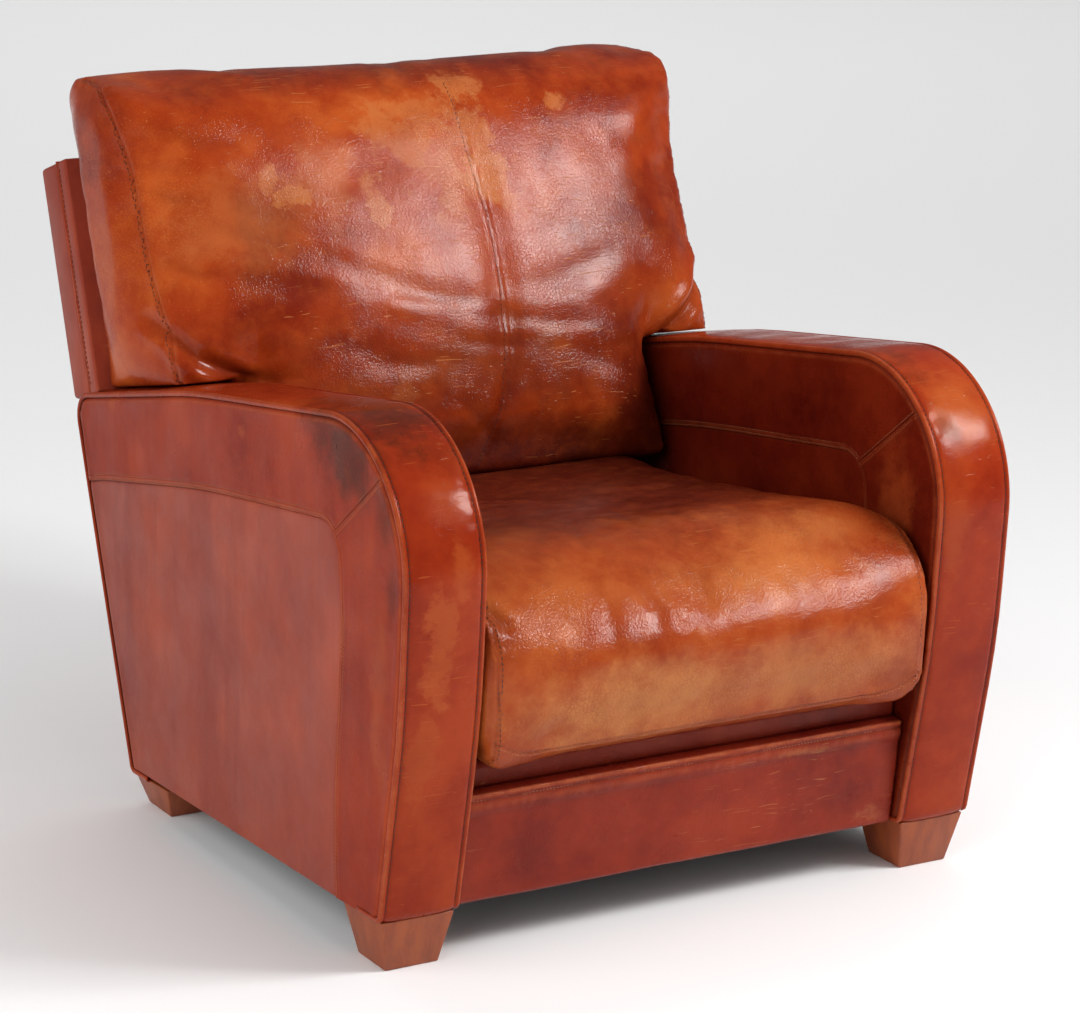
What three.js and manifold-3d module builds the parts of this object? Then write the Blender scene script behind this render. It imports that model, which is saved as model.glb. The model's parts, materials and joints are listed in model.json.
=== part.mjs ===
// A leather club chair: two boxed arms with rounded fronts, a raked back frame that stands over the arms' rear
// ends, a T-shaped back cushion, a waterfall seat cushion and four tapered feet. Millimetres, +Z up, front at -Y.
//
// The side view is drawn in (y, z), with y = 0 at the arms' front bottom corner. The finished group is moved so
// that its box stands centred on the origin.
import * as THREE from "three";
import { mergeVertices } from "three/addons/utils/BufferGeometryUtils.js";
import Module from "manifold-3d";

const wasm = await Module();
wasm.setup();

// ---------------------------------------------------------------- driving dimensions
const WIDTH = 830; // over both arms
const ARM_WIDTH = 105;
const GAP = 0.4; // between pieces that touch
const LEATHER = 2;

const ARM_MID_X = (WIDTH - ARM_WIDTH) / 2;
const INSIDE_X = WIDTH / 2 - ARM_WIDTH; // the arms' inner faces

const BASE_FRONT_Z = 67; // underside of the upholstery above the front feet
const BASE_FALL = 0.042; // how much the underside drops for each mm towards the back
const ARM_REAR_Y = 691;

// Arm side view: [y, z, corner radius], anticlockwise from the front bottom.
const ARM_CORNERS = [
  [5, BASE_FRONT_Z, 10],
  [ARM_REAR_Y, 38, 12],
  [862, 505, 35],
  [500, 585, 1500],
  [-59, 666, 165],
  [-40, 308, 1000],
];

const SEAT_TOP_FRONT_Z = 474;
const SEAT_TOP_FALL = 0.122;
const SEAT_FRONT_Y = -48;
const SEAT_REAR_Y = 650;
const SEAT_UNDER_FRONT_Z = 238;
const SEAT_UNDER_FALL = 0.068;

const BACK_RAKE = THREE.MathUtils.degToRad(19);
const BACK_FOOT = { y: 620, z: 52 }; // where the back frame's front face would meet its own underside
const BACK_DEPTH = 82;
const BACK_BOTTOM = 14; // along the rake, from BACK_FOOT
const BACK_SHOULDER = 508; // underside of the wings
const BACK_TOP = 803;

const CUSHION_HALF_WIDTH = 411;

const FOOT = { topX: 94, topY: 98, bottomX: 70, bottomY: 66 };
const BOLT_RADIUS = 4;
const BOLT_SIDES = 12;

// ---------------------------------------------------------------- materials
const material = (color, roughness, metalness = 0) =>
  new THREE.MeshStandardMaterial({ color, roughness, metalness });
const BODY_LEATHER = material(0x94402a, 0.38);
const CUSHION_LEATHER = material(0xa9532a, 0.4);
const FOOT_WOOD = material(0x93602f, 0.45);
const TIMBER = material(0xc9a878, 0.7);
const PLYWOOD = material(0xd3b78a, 0.7);
const FOAM = material(0xe8dfb8, 0.95);
const WEBBING = material(0x6b5a48, 0.9);
const CLOTH = material(0x26241f, 0.95);
const STEEL = material(0xa8a8a4, 0.35, 1);

// ---------------------------------------------------------------- helpers
const chair = new THREE.Group();
const baseUnderZ = (y) => BASE_FRONT_Z - BASE_FALL * y;
const seatUnderZ = (y) => SEAT_UNDER_FRONT_Z - SEAT_UNDER_FALL * (y - SEAT_FRONT_Y);
const seatTopZ = (y) => SEAT_TOP_FRONT_Z - SEAT_TOP_FALL * (y - SEAT_FRONT_Y);

function addPiece(name, geometry, finish, parent = chair) {
  const mesh = new THREE.Mesh(geometry, finish);
  mesh.name = name;
  parent.add(mesh);
  return mesh;
}

// The outline of a convex polygon whose corners [u, v, radius] are rounded by arcs.
function filletedOutline(corners, radiansPerStep = 0.2) {
  const points = [];
  corners.forEach(([u, v, radius], i) => {
    const corner = new THREE.Vector2(u, v);
    const before = new THREE.Vector2(...corners[(i + corners.length - 1) % corners.length]).sub(corner).normalize();
    const after = new THREE.Vector2(...corners[(i + 1) % corners.length]).sub(corner).normalize();
    const halfAngle = Math.acos(THREE.MathUtils.clamp(before.dot(after), -1, 1)) / 2;
    if (radius <= 0) {
      points.push(corner);
      return;
    }
    const centre = before.clone().add(after).normalize().multiplyScalar(radius / Math.sin(halfAngle)).add(corner);
    const turn = Math.PI - 2 * halfAngle;
    const start = before.clone().multiplyScalar(radius / Math.tan(halfAngle)).add(corner).sub(centre);
    const steps = Math.max(1, Math.ceil(turn / radiansPerStep));
    for (let k = 0; k <= steps; k++)
      points.push(start.clone().rotateAround(new THREE.Vector2(), (turn * k) / steps).add(centre));
  });
  return points;
}

// The same corners moved inwards by a distance. A fillet moved inwards has a smaller radius.
function insetCorners(corners, distance) {
  return corners.map(([u, v, radius], i) => {
    const corner = new THREE.Vector2(u, v);
    const before = new THREE.Vector2(...corners[(i + corners.length - 1) % corners.length]).sub(corner).normalize();
    const after = new THREE.Vector2(...corners[(i + 1) % corners.length]).sub(corner).normalize();
    const halfAngle = Math.acos(THREE.MathUtils.clamp(before.dot(after), -1, 1)) / 2;
    const moved = before.add(after).normalize().multiplyScalar(distance / Math.sin(halfAngle)).add(corner);
    return [moved.x, moved.y, Math.max(radius - distance, 2)];
  });
}

// A side view drawn in (y, z), made solid from x = from to x = to.
const SIDE_VIEW = new THREE.Matrix4().makeBasis(
  new THREE.Vector3(0, 1, 0),
  new THREE.Vector3(0, 0, 1),
  new THREE.Vector3(1, 0, 0),
);
function sideExtrusion(points, from, to) {
  const outline = points.map((p) => (p.isVector2 ? p : new THREE.Vector2(p[0], p[1])));
  return new THREE.ExtrudeGeometry(new THREE.Shape(outline), { depth: to - from, bevelEnabled: false })
    .applyMatrix4(SIDE_VIEW)
    .translate(from, 0, 0);
}

function boxGeometry([x0, x1], [y0, y1], [z0, z1]) {
  return new THREE.BoxGeometry(x1 - x0, y1 - y0, z1 - z0).translate((x0 + x1) / 2, (y0 + y1) / 2, (z0 + z1) / 2);
}

function solidOf(geometry) {
  const bare = geometry.clone();
  bare.deleteAttribute("normal");
  bare.deleteAttribute("uv");
  const merged = mergeVertices(bare, 1e-3);
  return new wasm.Manifold(
    new wasm.Mesh({
      numProp: 3,
      vertProperties: merged.attributes.position.array,
      triVerts: new Uint32Array(merged.index.array),
    }),
  );
}

function geometryOf(solid) {
  const mesh = solid.getMesh();
  const geometry = new THREE.BufferGeometry()
    .setAttribute("position", new THREE.BufferAttribute(Float32Array.from(mesh.vertProperties), 3))
    .setIndex(new THREE.BufferAttribute(mesh.triVerts, 1));
  geometry.computeVertexNormals();
  return geometry;
}

const cut = (geometry, ...cutters) =>
  geometryOf(cutters.reduce((solid, cutter) => solid.subtract(solidOf(cutter)), solidOf(geometry)));
const join = (a, b) => geometryOf(solidOf(a).add(solidOf(b)));

// A bolt, or with a larger radius the hole for it, along x or z.
function rod(axis, centre, length, radius) {
  const geometry = new THREE.CylinderGeometry(radius, radius, length, BOLT_SIDES);
  if (axis === "x") geometry.rotateZ(Math.PI / 2);
  if (axis === "z") geometry.rotateX(Math.PI / 2);
  return geometry.translate(...centre);
}

// ---------------------------------------------------------------- feet
const FOOT_TOP_GAP = 0.5;
const FOOT_ROWS = { front: { y: 55 }, rear: { y: 638 } };
const FOOT_BOLT_LENGTH = 52;

function footGeometry(y) {
  const geometry = new THREE.BoxGeometry(1, 1, 1);
  const position = geometry.attributes.position;
  for (let i = 0; i < position.count; i++) {
    const top = position.getZ(i) > 0;
    const px = position.getX(i) * (top ? FOOT.topX : FOOT.bottomX);
    const py = position.getY(i) * (top ? FOOT.topY : FOOT.bottomY);
    position.setXYZ(i, px, y + py, top ? baseUnderZ(y + py) - FOOT_TOP_GAP : 0);
  }
  return geometry;
}

// ---------------------------------------------------------------- arms
const FORMER = 9; // plywood thickness
const WADDING = 6;
const BAND_FOAM = 18;
const FORMER_INSET = LEATHER + GAP + BAND_FOAM + GAP;
const ARM_RAIL_HEIGHT = 26;
const ARM_BOLTS_Y = [150, 480];
const ARM_BOLT_LENGTH = 88;

const armBoltZ = (y) => baseUnderZ(y) + 78;
const armBoltHoles = (side, radius) =>
  ARM_BOLTS_Y.map((y) => rod("x", [side * (INSIDE_X - 4), y, armBoltZ(y)], ARM_BOLT_LENGTH + 20, radius));
const footHole = (side, y, radius) => rod("z", [side * ARM_MID_X, y, baseUnderZ(y)], FOOT_BOLT_LENGTH + 3, radius);

// The arm's outline moved inwards, with its underside pushed down so that a cover cut with it stays open below.
function openArmOutline(inset) {
  const DROP = 40;
  const corners = insetCorners(ARM_CORNERS, inset);
  const last = corners.length - 1;
  const lower = ([y, z], [towardsY, towardsZ]) => [y - ((towardsY - y) * DROP) / (towardsZ - z), z - DROP, 0];
  corners[0] = lower(corners[0], corners[last]);
  corners[1] = lower(corners[1], corners[2]);
  return filletedOutline(corners);
}

// The foam that wraps the arm's front and top, as a strip of even thickness.
function bandFoamGeometry() {
  const from = -ARM_WIDTH / 2 + LEATHER + WADDING + GAP;
  const to = -from;
  const outer = sideExtrusion(filletedOutline(insetCorners(ARM_CORNERS, LEATHER + GAP)), from, to);
  const inner = sideExtrusion(openArmOutline(LEATHER + GAP + BAND_FOAM), from - 5, to + 5);
  const behind = sideExtrusion(
    [
      [560, -50],
      [1100, -50],
      [1100, 700],
      [800, 700],
    ],
    from - 5,
    to + 5,
  );
  const below = sideExtrusion(
    [
      [-200, -60],
      [900, -60],
      [900, baseUnderZ(900) + 34],
      [-200, baseUnderZ(-200) + 34],
    ],
    from - 5,
    to + 5,
  );
  return cut(outer, inner, behind, below);
}

function buildArm(side, word) {
  const arm = new THREE.Group();
  arm.position.x = side * ARM_MID_X;
  chair.add(arm);
  const half = ARM_WIDTH / 2;
  const local = (geometry) => geometry.clone().translate(-side * ARM_MID_X, 0, 0);
  const boltHoles = armBoltHoles(side, BOLT_RADIUS + GAP).map(local);

  const coverOuter = sideExtrusion(filletedOutline(ARM_CORNERS), -half, half);
  const coverInner = sideExtrusion(openArmOutline(LEATHER), -half + LEATHER, half - LEATHER);
  addPiece(`${word}_arm_cover`, cut(coverOuter, coverInner, ...boltHoles), BODY_LEATHER, arm);
  addPiece(`${word}_arm_band_foam`, bandFoamGeometry(), FOAM, arm);

  // Two plywood formers carry the arm's shape, each with a thin layer of wadding between it and the leather.
  const formerOutline = filletedOutline(insetCorners(ARM_CORNERS, FORMER_INSET));
  const waddingOutline = filletedOutline(insetCorners(ARM_CORNERS, LEATHER + 3));
  for (const face of ["outer", "inner"]) {
    const outward = face === "outer" ? side : -side;
    const skinX = half - LEATHER - GAP;
    const slab = (outline, near, far) =>
      outward > 0 ? sideExtrusion(outline, far, near) : sideExtrusion(outline, -near, -far);
    const wadding = slab(waddingOutline, skinX, skinX - WADDING + GAP);
    const formerNear = skinX - WADDING;
    const former = slab(formerOutline, formerNear, formerNear - FORMER);
    const drilled = face === "inner" ? boltHoles : [];
    addPiece(`${word}_arm_${face}_wadding`, drilled.length ? cut(wadding, ...drilled) : wadding, FOAM, arm);
    addPiece(`${word}_arm_${face}_former`, drilled.length ? cut(former, ...drilled) : former, PLYWOOD, arm);
  }

  // Blocks and a bottom rail hold the formers apart.
  const blockHalf = half - LEATHER - GAP - WADDING - FORMER - GAP;
  const railUnderZ = (y) => baseUnderZ(y) + FORMER_INSET + 4;
  const rail = sideExtrusion(
    [
      [46, railUnderZ(46)],
      [668, railUnderZ(668)],
      [676, railUnderZ(676) + ARM_RAIL_HEIGHT],
      [46, railUnderZ(46) + ARM_RAIL_HEIGHT],
    ],
    -blockHalf,
    blockHalf,
  );
  const footHoles = Object.values(FOOT_ROWS).map(({ y }) => local(footHole(side, y, BOLT_RADIUS + GAP)));
  addPiece(`${word}_arm_bottom_rail`, cut(rail, ...footHoles), TIMBER, arm);
  addPiece(
    `${word}_arm_front_post`,
    sideExtrusion(
      [
        [46, railUnderZ(46) + ARM_RAIL_HEIGHT + GAP],
        [86, railUnderZ(86) + ARM_RAIL_HEIGHT + GAP],
        [86, 600],
        [46, 590],
      ],
      -blockHalf,
      blockHalf,
    ),
    TIMBER,
    arm,
  );
  addPiece(
    `${word}_arm_rear_post`,
    sideExtrusion(
      [
        [632, railUnderZ(632) + ARM_RAIL_HEIGHT + GAP],
        [672, railUnderZ(672) + ARM_RAIL_HEIGHT + GAP],
        [810, 488],
        [770, 497],
      ],
      -blockHalf,
      blockHalf,
    ),
    TIMBER,
    arm,
  );
  return arm;
}

function buildFoot(side, word, row) {
  const { y } = FOOT_ROWS[row];
  const name = `${row}_${word}_foot`;
  const foot = new THREE.Group();
  foot.position.x = side * ARM_MID_X;
  chair.add(foot);
  const hole = footHole(side, y, BOLT_RADIUS + GAP).translate(-side * ARM_MID_X, 0, 0);
  addPiece(name, cut(footGeometry(y), hole), FOOT_WOOD, foot);
  addPiece(`${name}_bolt`, rod("z", [0, y, baseUnderZ(y)], FOOT_BOLT_LENGTH, BOLT_RADIUS), STEEL, foot);
}

// ---------------------------------------------------------------- seat base
const RAIL = 28;
const STRAP = { width: 60, thick: 2 };
const DECK_THICK = 2.5;
const DECK_TOP_DROP = 0.5; // deck below the seat cushion
const LONG_STRAP_DROP = DECK_TOP_DROP + DECK_THICK + GAP;
const CROSS_STRAP_DROP = LONG_STRAP_DROP + STRAP.thick + GAP;
const SIDE_RAIL_DROP = CROSS_STRAP_DROP + STRAP.thick + GAP;
const END_RAIL_DROP = LONG_STRAP_DROP + STRAP.thick + GAP;
const FRONT_RAIL_Y = 40;
const REAR_RAIL_Y = 584;
const SEAT_BASE_HALF = INSIDE_X - 2;
const DECK_LIP_REAR_Y = 100;

// A strip that follows the seat's underside from y0 to y1, dropped below it.
function underSeatStrip(x0, x1, y0, y1, drop, thick) {
  return sideExtrusion(
    [
      [y0, seatUnderZ(y0) - drop - thick],
      [y1, seatUnderZ(y1) - drop - thick],
      [y1, seatUnderZ(y1) - drop],
      [y0, seatUnderZ(y0) - drop],
    ],
    x0,
    x1,
  );
}

function buildSeatBase() {
  const endRail = (name, y0, x) =>
    addPiece(
      name,
      sideExtrusion(
        [
          [y0, baseUnderZ(y0) + 8],
          [y0 + RAIL, baseUnderZ(y0 + RAIL) + 8],
          [y0 + RAIL, seatUnderZ(y0 + RAIL) - END_RAIL_DROP],
          [y0, seatUnderZ(y0) - END_RAIL_DROP],
        ],
        -x,
        x,
      ),
      TIMBER,
    );
  endRail("seat_front_rail", FRONT_RAIL_Y, SEAT_BASE_HALF);
  endRail("seat_rear_rail", REAR_RAIL_Y, SEAT_BASE_HALF);

  for (const [side, word] of SIDES) {
    const y0 = FRONT_RAIL_Y + RAIL + GAP;
    const y1 = REAR_RAIL_Y - GAP;
    const SIDE_RAIL_HEIGHT = 105;
    const outer = side * SEAT_BASE_HALF;
    const inner = side * (SEAT_BASE_HALF - RAIL);
    const rail = underSeatStrip(
      Math.min(outer, inner),
      Math.max(outer, inner),
      y0,
      y1,
      SIDE_RAIL_DROP,
      SIDE_RAIL_HEIGHT,
    );
    addPiece(`seat_${word}_side_rail`, cut(rail, ...armBoltHoles(side, BOLT_RADIUS + GAP)), TIMBER);
    ARM_BOLTS_Y.forEach((y, i) =>
      addPiece(
        `${word}_arm_${["front", "rear"][i]}_bolt`,
        rod("x", [side * (INSIDE_X - 4), y, armBoltZ(y)], ARM_BOLT_LENGTH, BOLT_RADIUS),
        STEEL,
      ),
    );
  }

  const LONG_STRAPS = 4;
  for (let i = 0; i < LONG_STRAPS; i++) {
    const x = (i - (LONG_STRAPS - 1) / 2) * 140;
    addPiece(
      `seat_long_strap_${i + 1}`,
      underSeatStrip(
        x - STRAP.width / 2,
        x + STRAP.width / 2,
        FRONT_RAIL_Y + 4,
        REAR_RAIL_Y + RAIL - 4,
        LONG_STRAP_DROP,
        STRAP.thick,
      ),
      WEBBING,
    );
  }
  const CROSS_STRAPS = 3;
  for (let i = 0; i < CROSS_STRAPS; i++) {
    const y = 170 + i * 140;
    addPiece(
      `seat_cross_strap_${i + 1}`,
      underSeatStrip(4 - SEAT_BASE_HALF, SEAT_BASE_HALF - 4, y, y + STRAP.width, CROSS_STRAP_DROP, STRAP.thick),
      WEBBING,
    );
  }
  addPiece(
    "seat_deck_cloth",
    underSeatStrip(
      -SEAT_BASE_HALF,
      SEAT_BASE_HALF,
      DECK_LIP_REAR_Y + GAP,
      REAR_RAIL_Y + RAIL,
      DECK_TOP_DROP,
      DECK_THICK,
    ),
    CLOTH,
  );
  addPiece(
    "seat_dust_cover",
    sideExtrusion(
      [
        [FRONT_RAIL_Y, baseUnderZ(FRONT_RAIL_Y) + 5],
        [REAR_RAIL_Y + RAIL, baseUnderZ(REAR_RAIL_Y + RAIL) + 5],
        [REAR_RAIL_Y + RAIL, baseUnderZ(REAR_RAIL_Y + RAIL) + 7],
        [FRONT_RAIL_Y, baseUnderZ(FRONT_RAIL_Y) + 7],
      ],
      -SEAT_BASE_HALF,
      SEAT_BASE_HALF,
    ),
    CLOTH,
  );
}

// The leather panel below the seat, its padding, and the leather lip that runs from it back under the cushion.
function buildFrontPanel() {
  const PANEL = { bottomY: 18, bottomZ: 68, topY: 2, topZ: 203 };
  const half = SEAT_BASE_HALF + 1;
  addPiece(
    "front_panel_cover",
    sideExtrusion(
      [
        [FRONT_RAIL_Y - GAP, PANEL.bottomZ - 2],
        [FRONT_RAIL_Y - GAP, PANEL.bottomZ + 1],
        [PANEL.bottomY + 3, PANEL.bottomZ + 1],
        [PANEL.topY + 3, PANEL.topZ - 3],
        [FRONT_RAIL_Y - GAP, PANEL.topZ - 3],
        [FRONT_RAIL_Y - GAP, PANEL.topZ],
        [PANEL.topY, PANEL.topZ],
        [PANEL.bottomY, PANEL.bottomZ - 2],
      ].reverse(),
      -half,
      half,
    ),
    BODY_LEATHER,
  );
  addPiece(
    "front_panel_foam",
    sideExtrusion(
      [
        [PANEL.bottomY + 3 + GAP, PANEL.bottomZ + 2],
        [FRONT_RAIL_Y - GAP, PANEL.bottomZ + 2],
        [FRONT_RAIL_Y - GAP, PANEL.topZ - 4],
        [PANEL.topY + 3 + GAP, PANEL.topZ - 4],
      ],
      -half + 2,
      half - 2,
    ),
    FOAM,
  );
  const LIP_FRONT_Y = 23;
  const topZ = (y) => seatUnderZ(y) - DECK_TOP_DROP;
  addPiece(
    "seat_deck_lip",
    sideExtrusion(
      [
        [LIP_FRONT_Y, PANEL.topZ + GAP],
        [LIP_FRONT_Y + LEATHER, PANEL.topZ + GAP],
        [LIP_FRONT_Y + LEATHER, topZ(LIP_FRONT_Y) - DECK_THICK],
        [DECK_LIP_REAR_Y, topZ(DECK_LIP_REAR_Y) - DECK_THICK],
        [DECK_LIP_REAR_Y, topZ(DECK_LIP_REAR_Y)],
        [LIP_FRONT_Y, topZ(LIP_FRONT_Y)],
      ],
      -SEAT_BASE_HALF,
      SEAT_BASE_HALF,
    ),
    BODY_LEATHER,
  );
}

function buildSeatCushion() {
  const outline = filletedOutline([
    [SEAT_FRONT_Y - 12, seatUnderZ(SEAT_FRONT_Y - 12), 40],
    [SEAT_REAR_Y, seatUnderZ(SEAT_REAR_Y), 20],
    [SEAT_REAR_Y, seatTopZ(SEAT_REAR_Y), 20],
    [SEAT_FRONT_Y, seatTopZ(SEAT_FRONT_Y), 75],
  ]);
  addPiece("seat_cushion", sideExtrusion(outline, 2 - INSIDE_X, INSIDE_X - 2), CUSHION_LEATHER);
}

// ---------------------------------------------------------------- back
// Inside this group y runs through the frame from front to back, and z runs up along the rake.
function buildBackFrame() {
  const back = new THREE.Group();
  back.position.set(0, BACK_FOOT.y, BACK_FOOT.z);
  back.rotation.x = -BACK_RAKE;
  chair.add(back);

  const halfWidth = WIDTH / 2;
  const lowerHalf = INSIDE_X - 2;
  const tee = (inset, y0, y1) =>
    join(
      boxGeometry([inset - lowerHalf, lowerHalf - inset], [y0, y1], [BACK_BOTTOM + inset, BACK_TOP - inset]),
      boxGeometry([inset - halfWidth, halfWidth - inset], [y0, y1], [BACK_SHOULDER + inset, BACK_TOP - inset]),
    );
  addPiece("back_cover", cut(tee(0, 0, BACK_DEPTH), tee(LEATHER, -10, BACK_DEPTH - LEATHER)), BODY_LEATHER, back);

  const FRONT = 14; // the timbers stand back from the cushion, behind the webbing
  const REAR = BACK_DEPTH - LEATHER - 8;
  const POST = 40;
  const clear = LEATHER + GAP;
  const timber = (name, x, z) => addPiece(name, boxGeometry(x, [FRONT, REAR], z), TIMBER, back);
  const topRailZ = [BACK_TOP - clear - POST, BACK_TOP - clear];
  const shoulderRailZ = [BACK_SHOULDER + clear, BACK_SHOULDER + clear + POST];
  timber("back_top_rail", [clear - halfWidth, halfWidth - clear], topRailZ);
  timber("back_shoulder_rail", [clear - halfWidth, halfWidth - clear], shoulderRailZ);
  timber("back_bottom_rail", [clear - lowerHalf, lowerHalf - clear], [60, 60 + POST]);
  for (const [side, word] of SIDES) {
    const span = (near, far) => [Math.min(side * near, side * far), Math.max(side * near, side * far)];
    timber(
      `back_${word}_stile`,
      span(lowerHalf - clear, lowerHalf - clear - POST),
      [60 + POST + GAP, shoulderRailZ[0] - GAP],
    );
    timber(
      `back_${word}_wing_post`,
      span(halfWidth - clear, halfWidth - clear - POST),
      [shoulderRailZ[1] + GAP, topRailZ[0] - GAP],
    );
  }
  const BACK_STRAPS = 3;
  for (let i = 0; i < BACK_STRAPS; i++) {
    const x = (i - (BACK_STRAPS - 1) / 2) * 170;
    addPiece(
      `back_strap_${i + 1}`,
      boxGeometry(
        [x - STRAP.width / 2, x + STRAP.width / 2],
        [FRONT - GAP - STRAP.thick, FRONT - GAP],
        [64, BACK_TOP - clear - 4],
      ),
      WEBBING,
      back,
    );
  }
}

// The cushion rests on the seat between the arms, and its wings rest on the arms.
function buildBackCushion() {
  const frameFrontY = (z) => BACK_FOOT.y + (z - BACK_FOOT.z) * Math.tan(BACK_RAKE) - 1;
  const FACE = { bottomY: 515, topY: 700, topZ: 905 };
  const faceY = (z) => FACE.bottomY + ((z - seatTopZ(FACE.bottomY)) * (FACE.topY - FACE.bottomY)) / 500;
  const bottomZ = (y) => seatTopZ(y) + 1;
  const CREST = [
    [903, 928, 42],
    [FACE.topY, 912, 58],
  ];
  const rearTop = [frameFrontY(802), 802, 0];
  const rearBottomZ = 379.5;
  const between = filletedOutline([
    [FACE.bottomY, bottomZ(FACE.bottomY), 18],
    [frameFrontY(rearBottomZ), bottomZ(frameFrontY(rearBottomZ)), 0],
    rearTop,
    ...CREST,
  ]);
  const wing = filletedOutline([
    [faceY(583) + 6, 579, 14],
    [frameFrontY(537), 539, 4],
    rearTop,
    ...CREST,
  ]);
  addPiece(
    "back_cushion",
    join(
      sideExtrusion(between, 2 - INSIDE_X, INSIDE_X - 2),
      sideExtrusion(wing, -CUSHION_HALF_WIDTH, CUSHION_HALF_WIDTH),
    ),
    CUSHION_LEATHER,
  );
}

// ---------------------------------------------------------------- assembly
const SIDES = [
  [-1, "left"],
  [1, "right"],
];
for (const [side, word] of SIDES) {
  buildArm(side, word);
  for (const row of Object.keys(FOOT_ROWS)) buildFoot(side, word, row);
}
buildSeatBase();
buildFrontPanel();
buildSeatCushion();
buildBackFrame();
buildBackCushion();

const box = new THREE.Box3().setFromObject(chair, true);
chair.position.y = -(box.min.y + box.max.y) / 2;

export default chair;
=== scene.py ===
"""A worn leather club chair, dressed around its packed construction model.

The arms, front panel, back frame and feet are modelled as sewn and jointed pieces. The seat and back
cushions are simulated as inflated covers, then seamed and creased. Lengths are in metres unless a name or a
comment says otherwise; side views are drawn in millimetres.
"""

from __future__ import annotations

import json
import logging
import math
from dataclasses import dataclass, field
from enum import Enum
from typing import Callable, Iterable, Sequence

import bpy
import numpy as np
from mathutils import Matrix, Vector, noise
from mathutils.bvhtree import BVHTree

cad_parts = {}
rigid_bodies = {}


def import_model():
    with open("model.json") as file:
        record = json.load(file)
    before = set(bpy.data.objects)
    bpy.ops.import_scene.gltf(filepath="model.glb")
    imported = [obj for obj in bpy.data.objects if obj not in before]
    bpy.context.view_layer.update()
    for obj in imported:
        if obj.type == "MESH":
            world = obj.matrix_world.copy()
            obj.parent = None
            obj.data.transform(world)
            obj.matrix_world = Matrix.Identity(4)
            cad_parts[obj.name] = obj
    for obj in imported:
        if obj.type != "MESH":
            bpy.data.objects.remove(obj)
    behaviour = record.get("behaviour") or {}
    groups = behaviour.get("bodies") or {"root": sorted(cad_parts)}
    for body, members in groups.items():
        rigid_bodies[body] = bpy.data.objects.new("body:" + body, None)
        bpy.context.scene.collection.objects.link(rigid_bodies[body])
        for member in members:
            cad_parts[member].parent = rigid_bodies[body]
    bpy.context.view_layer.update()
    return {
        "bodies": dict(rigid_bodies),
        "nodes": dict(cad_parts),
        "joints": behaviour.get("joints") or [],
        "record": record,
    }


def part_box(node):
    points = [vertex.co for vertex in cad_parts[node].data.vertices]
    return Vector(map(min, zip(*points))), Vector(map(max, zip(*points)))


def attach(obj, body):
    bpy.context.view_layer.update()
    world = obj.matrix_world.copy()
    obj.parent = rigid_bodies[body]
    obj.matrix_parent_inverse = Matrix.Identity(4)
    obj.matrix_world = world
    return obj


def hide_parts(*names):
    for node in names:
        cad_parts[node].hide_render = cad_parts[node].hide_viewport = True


LOG = logging.getLogger("club_chair")
BODY = "root"
MM = 0.001
FOOT_BACK = 55  # from the arms' front bottom corner to the middle of a front foot, in mm

Corner = tuple[float, float, float]
Point = tuple[float, float, float]
Color = tuple[float, float, float]
Socket = bpy.types.NodeSocket


# ---------------------------------------------------------------- lines in the side view
def unit(vector: np.ndarray) -> np.ndarray:
    """Returns a vector scaled to length one."""
    return vector / np.linalg.norm(vector)


def smooth(value: np.ndarray) -> np.ndarray:
    """Returns a smooth step: 0 below 0, 1 above 1."""
    t = np.clip(value, 0.0, 1.0)
    return t * t * (3 - 2 * t)


def bell(value: np.ndarray) -> np.ndarray:
    """Returns a rounded bump of height 1 and half-width of about 1."""
    return np.exp(-value * value)


class Path:
    """A line through points of any dimension, measured along its length."""

    def __init__(self, points: Iterable[Sequence[float]]) -> None:
        """Args:
            points: the line's points in order.
        """
        self.points = np.array(list(points), float)
        steps = np.linalg.norm(np.diff(self.points, axis=0), axis=1)
        self.reach = np.concatenate([[0.0], np.cumsum(steps)])

    @property
    def length(self) -> float:
        """The line's whole length."""
        return float(self.reach[-1])

    def at(self, distance: np.ndarray | float) -> np.ndarray:
        """Returns the point or points at distances along the line."""
        columns = [np.interp(distance, self.reach, column) for column in self.points.T]
        return np.stack(columns, axis=-1)

    def share(self, fraction: np.ndarray | float) -> np.ndarray:
        """Returns the point or points at fractions of the line's length."""
        return self.at(np.asarray(fraction) * self.length)

    def nearest(self, point: Sequence[float]) -> float:
        """Finds the sampled place nearest to a point.

        Args:
            point: a point of the line's dimension.

        Returns:
            Its distance along the line.
        """
        samples = np.linspace(0, self.length, 2000)
        gaps = np.linalg.norm(self.at(samples) - np.array(point, float), axis=1)
        return float(samples[int(np.argmin(gaps))])

    def part(self, start: float, end: float, count: int = 200) -> Path:
        """Returns the stretch between two distances along the line; it may run backwards."""
        return Path(self.at(np.linspace(start, end, count)))

    def normals(self, distance: np.ndarray, blur: float = 4.0) -> np.ndarray:
        """Returns left-hand unit normals of a line in a plane.

        Args:
            distance: distances along the line.
            blur: how far ahead and behind the direction is taken.

        Returns:
            Unit normals, one for each distance.
        """
        ahead = self.at(np.minimum(distance + blur, self.length))
        behind = self.at(np.maximum(distance - blur, 0.0))
        tangent = ahead - behind
        tangent /= np.linalg.norm(tangent, axis=1)[:, None]
        return np.stack([-tangent[:, 1], tangent[:, 0]], axis=1)


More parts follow.
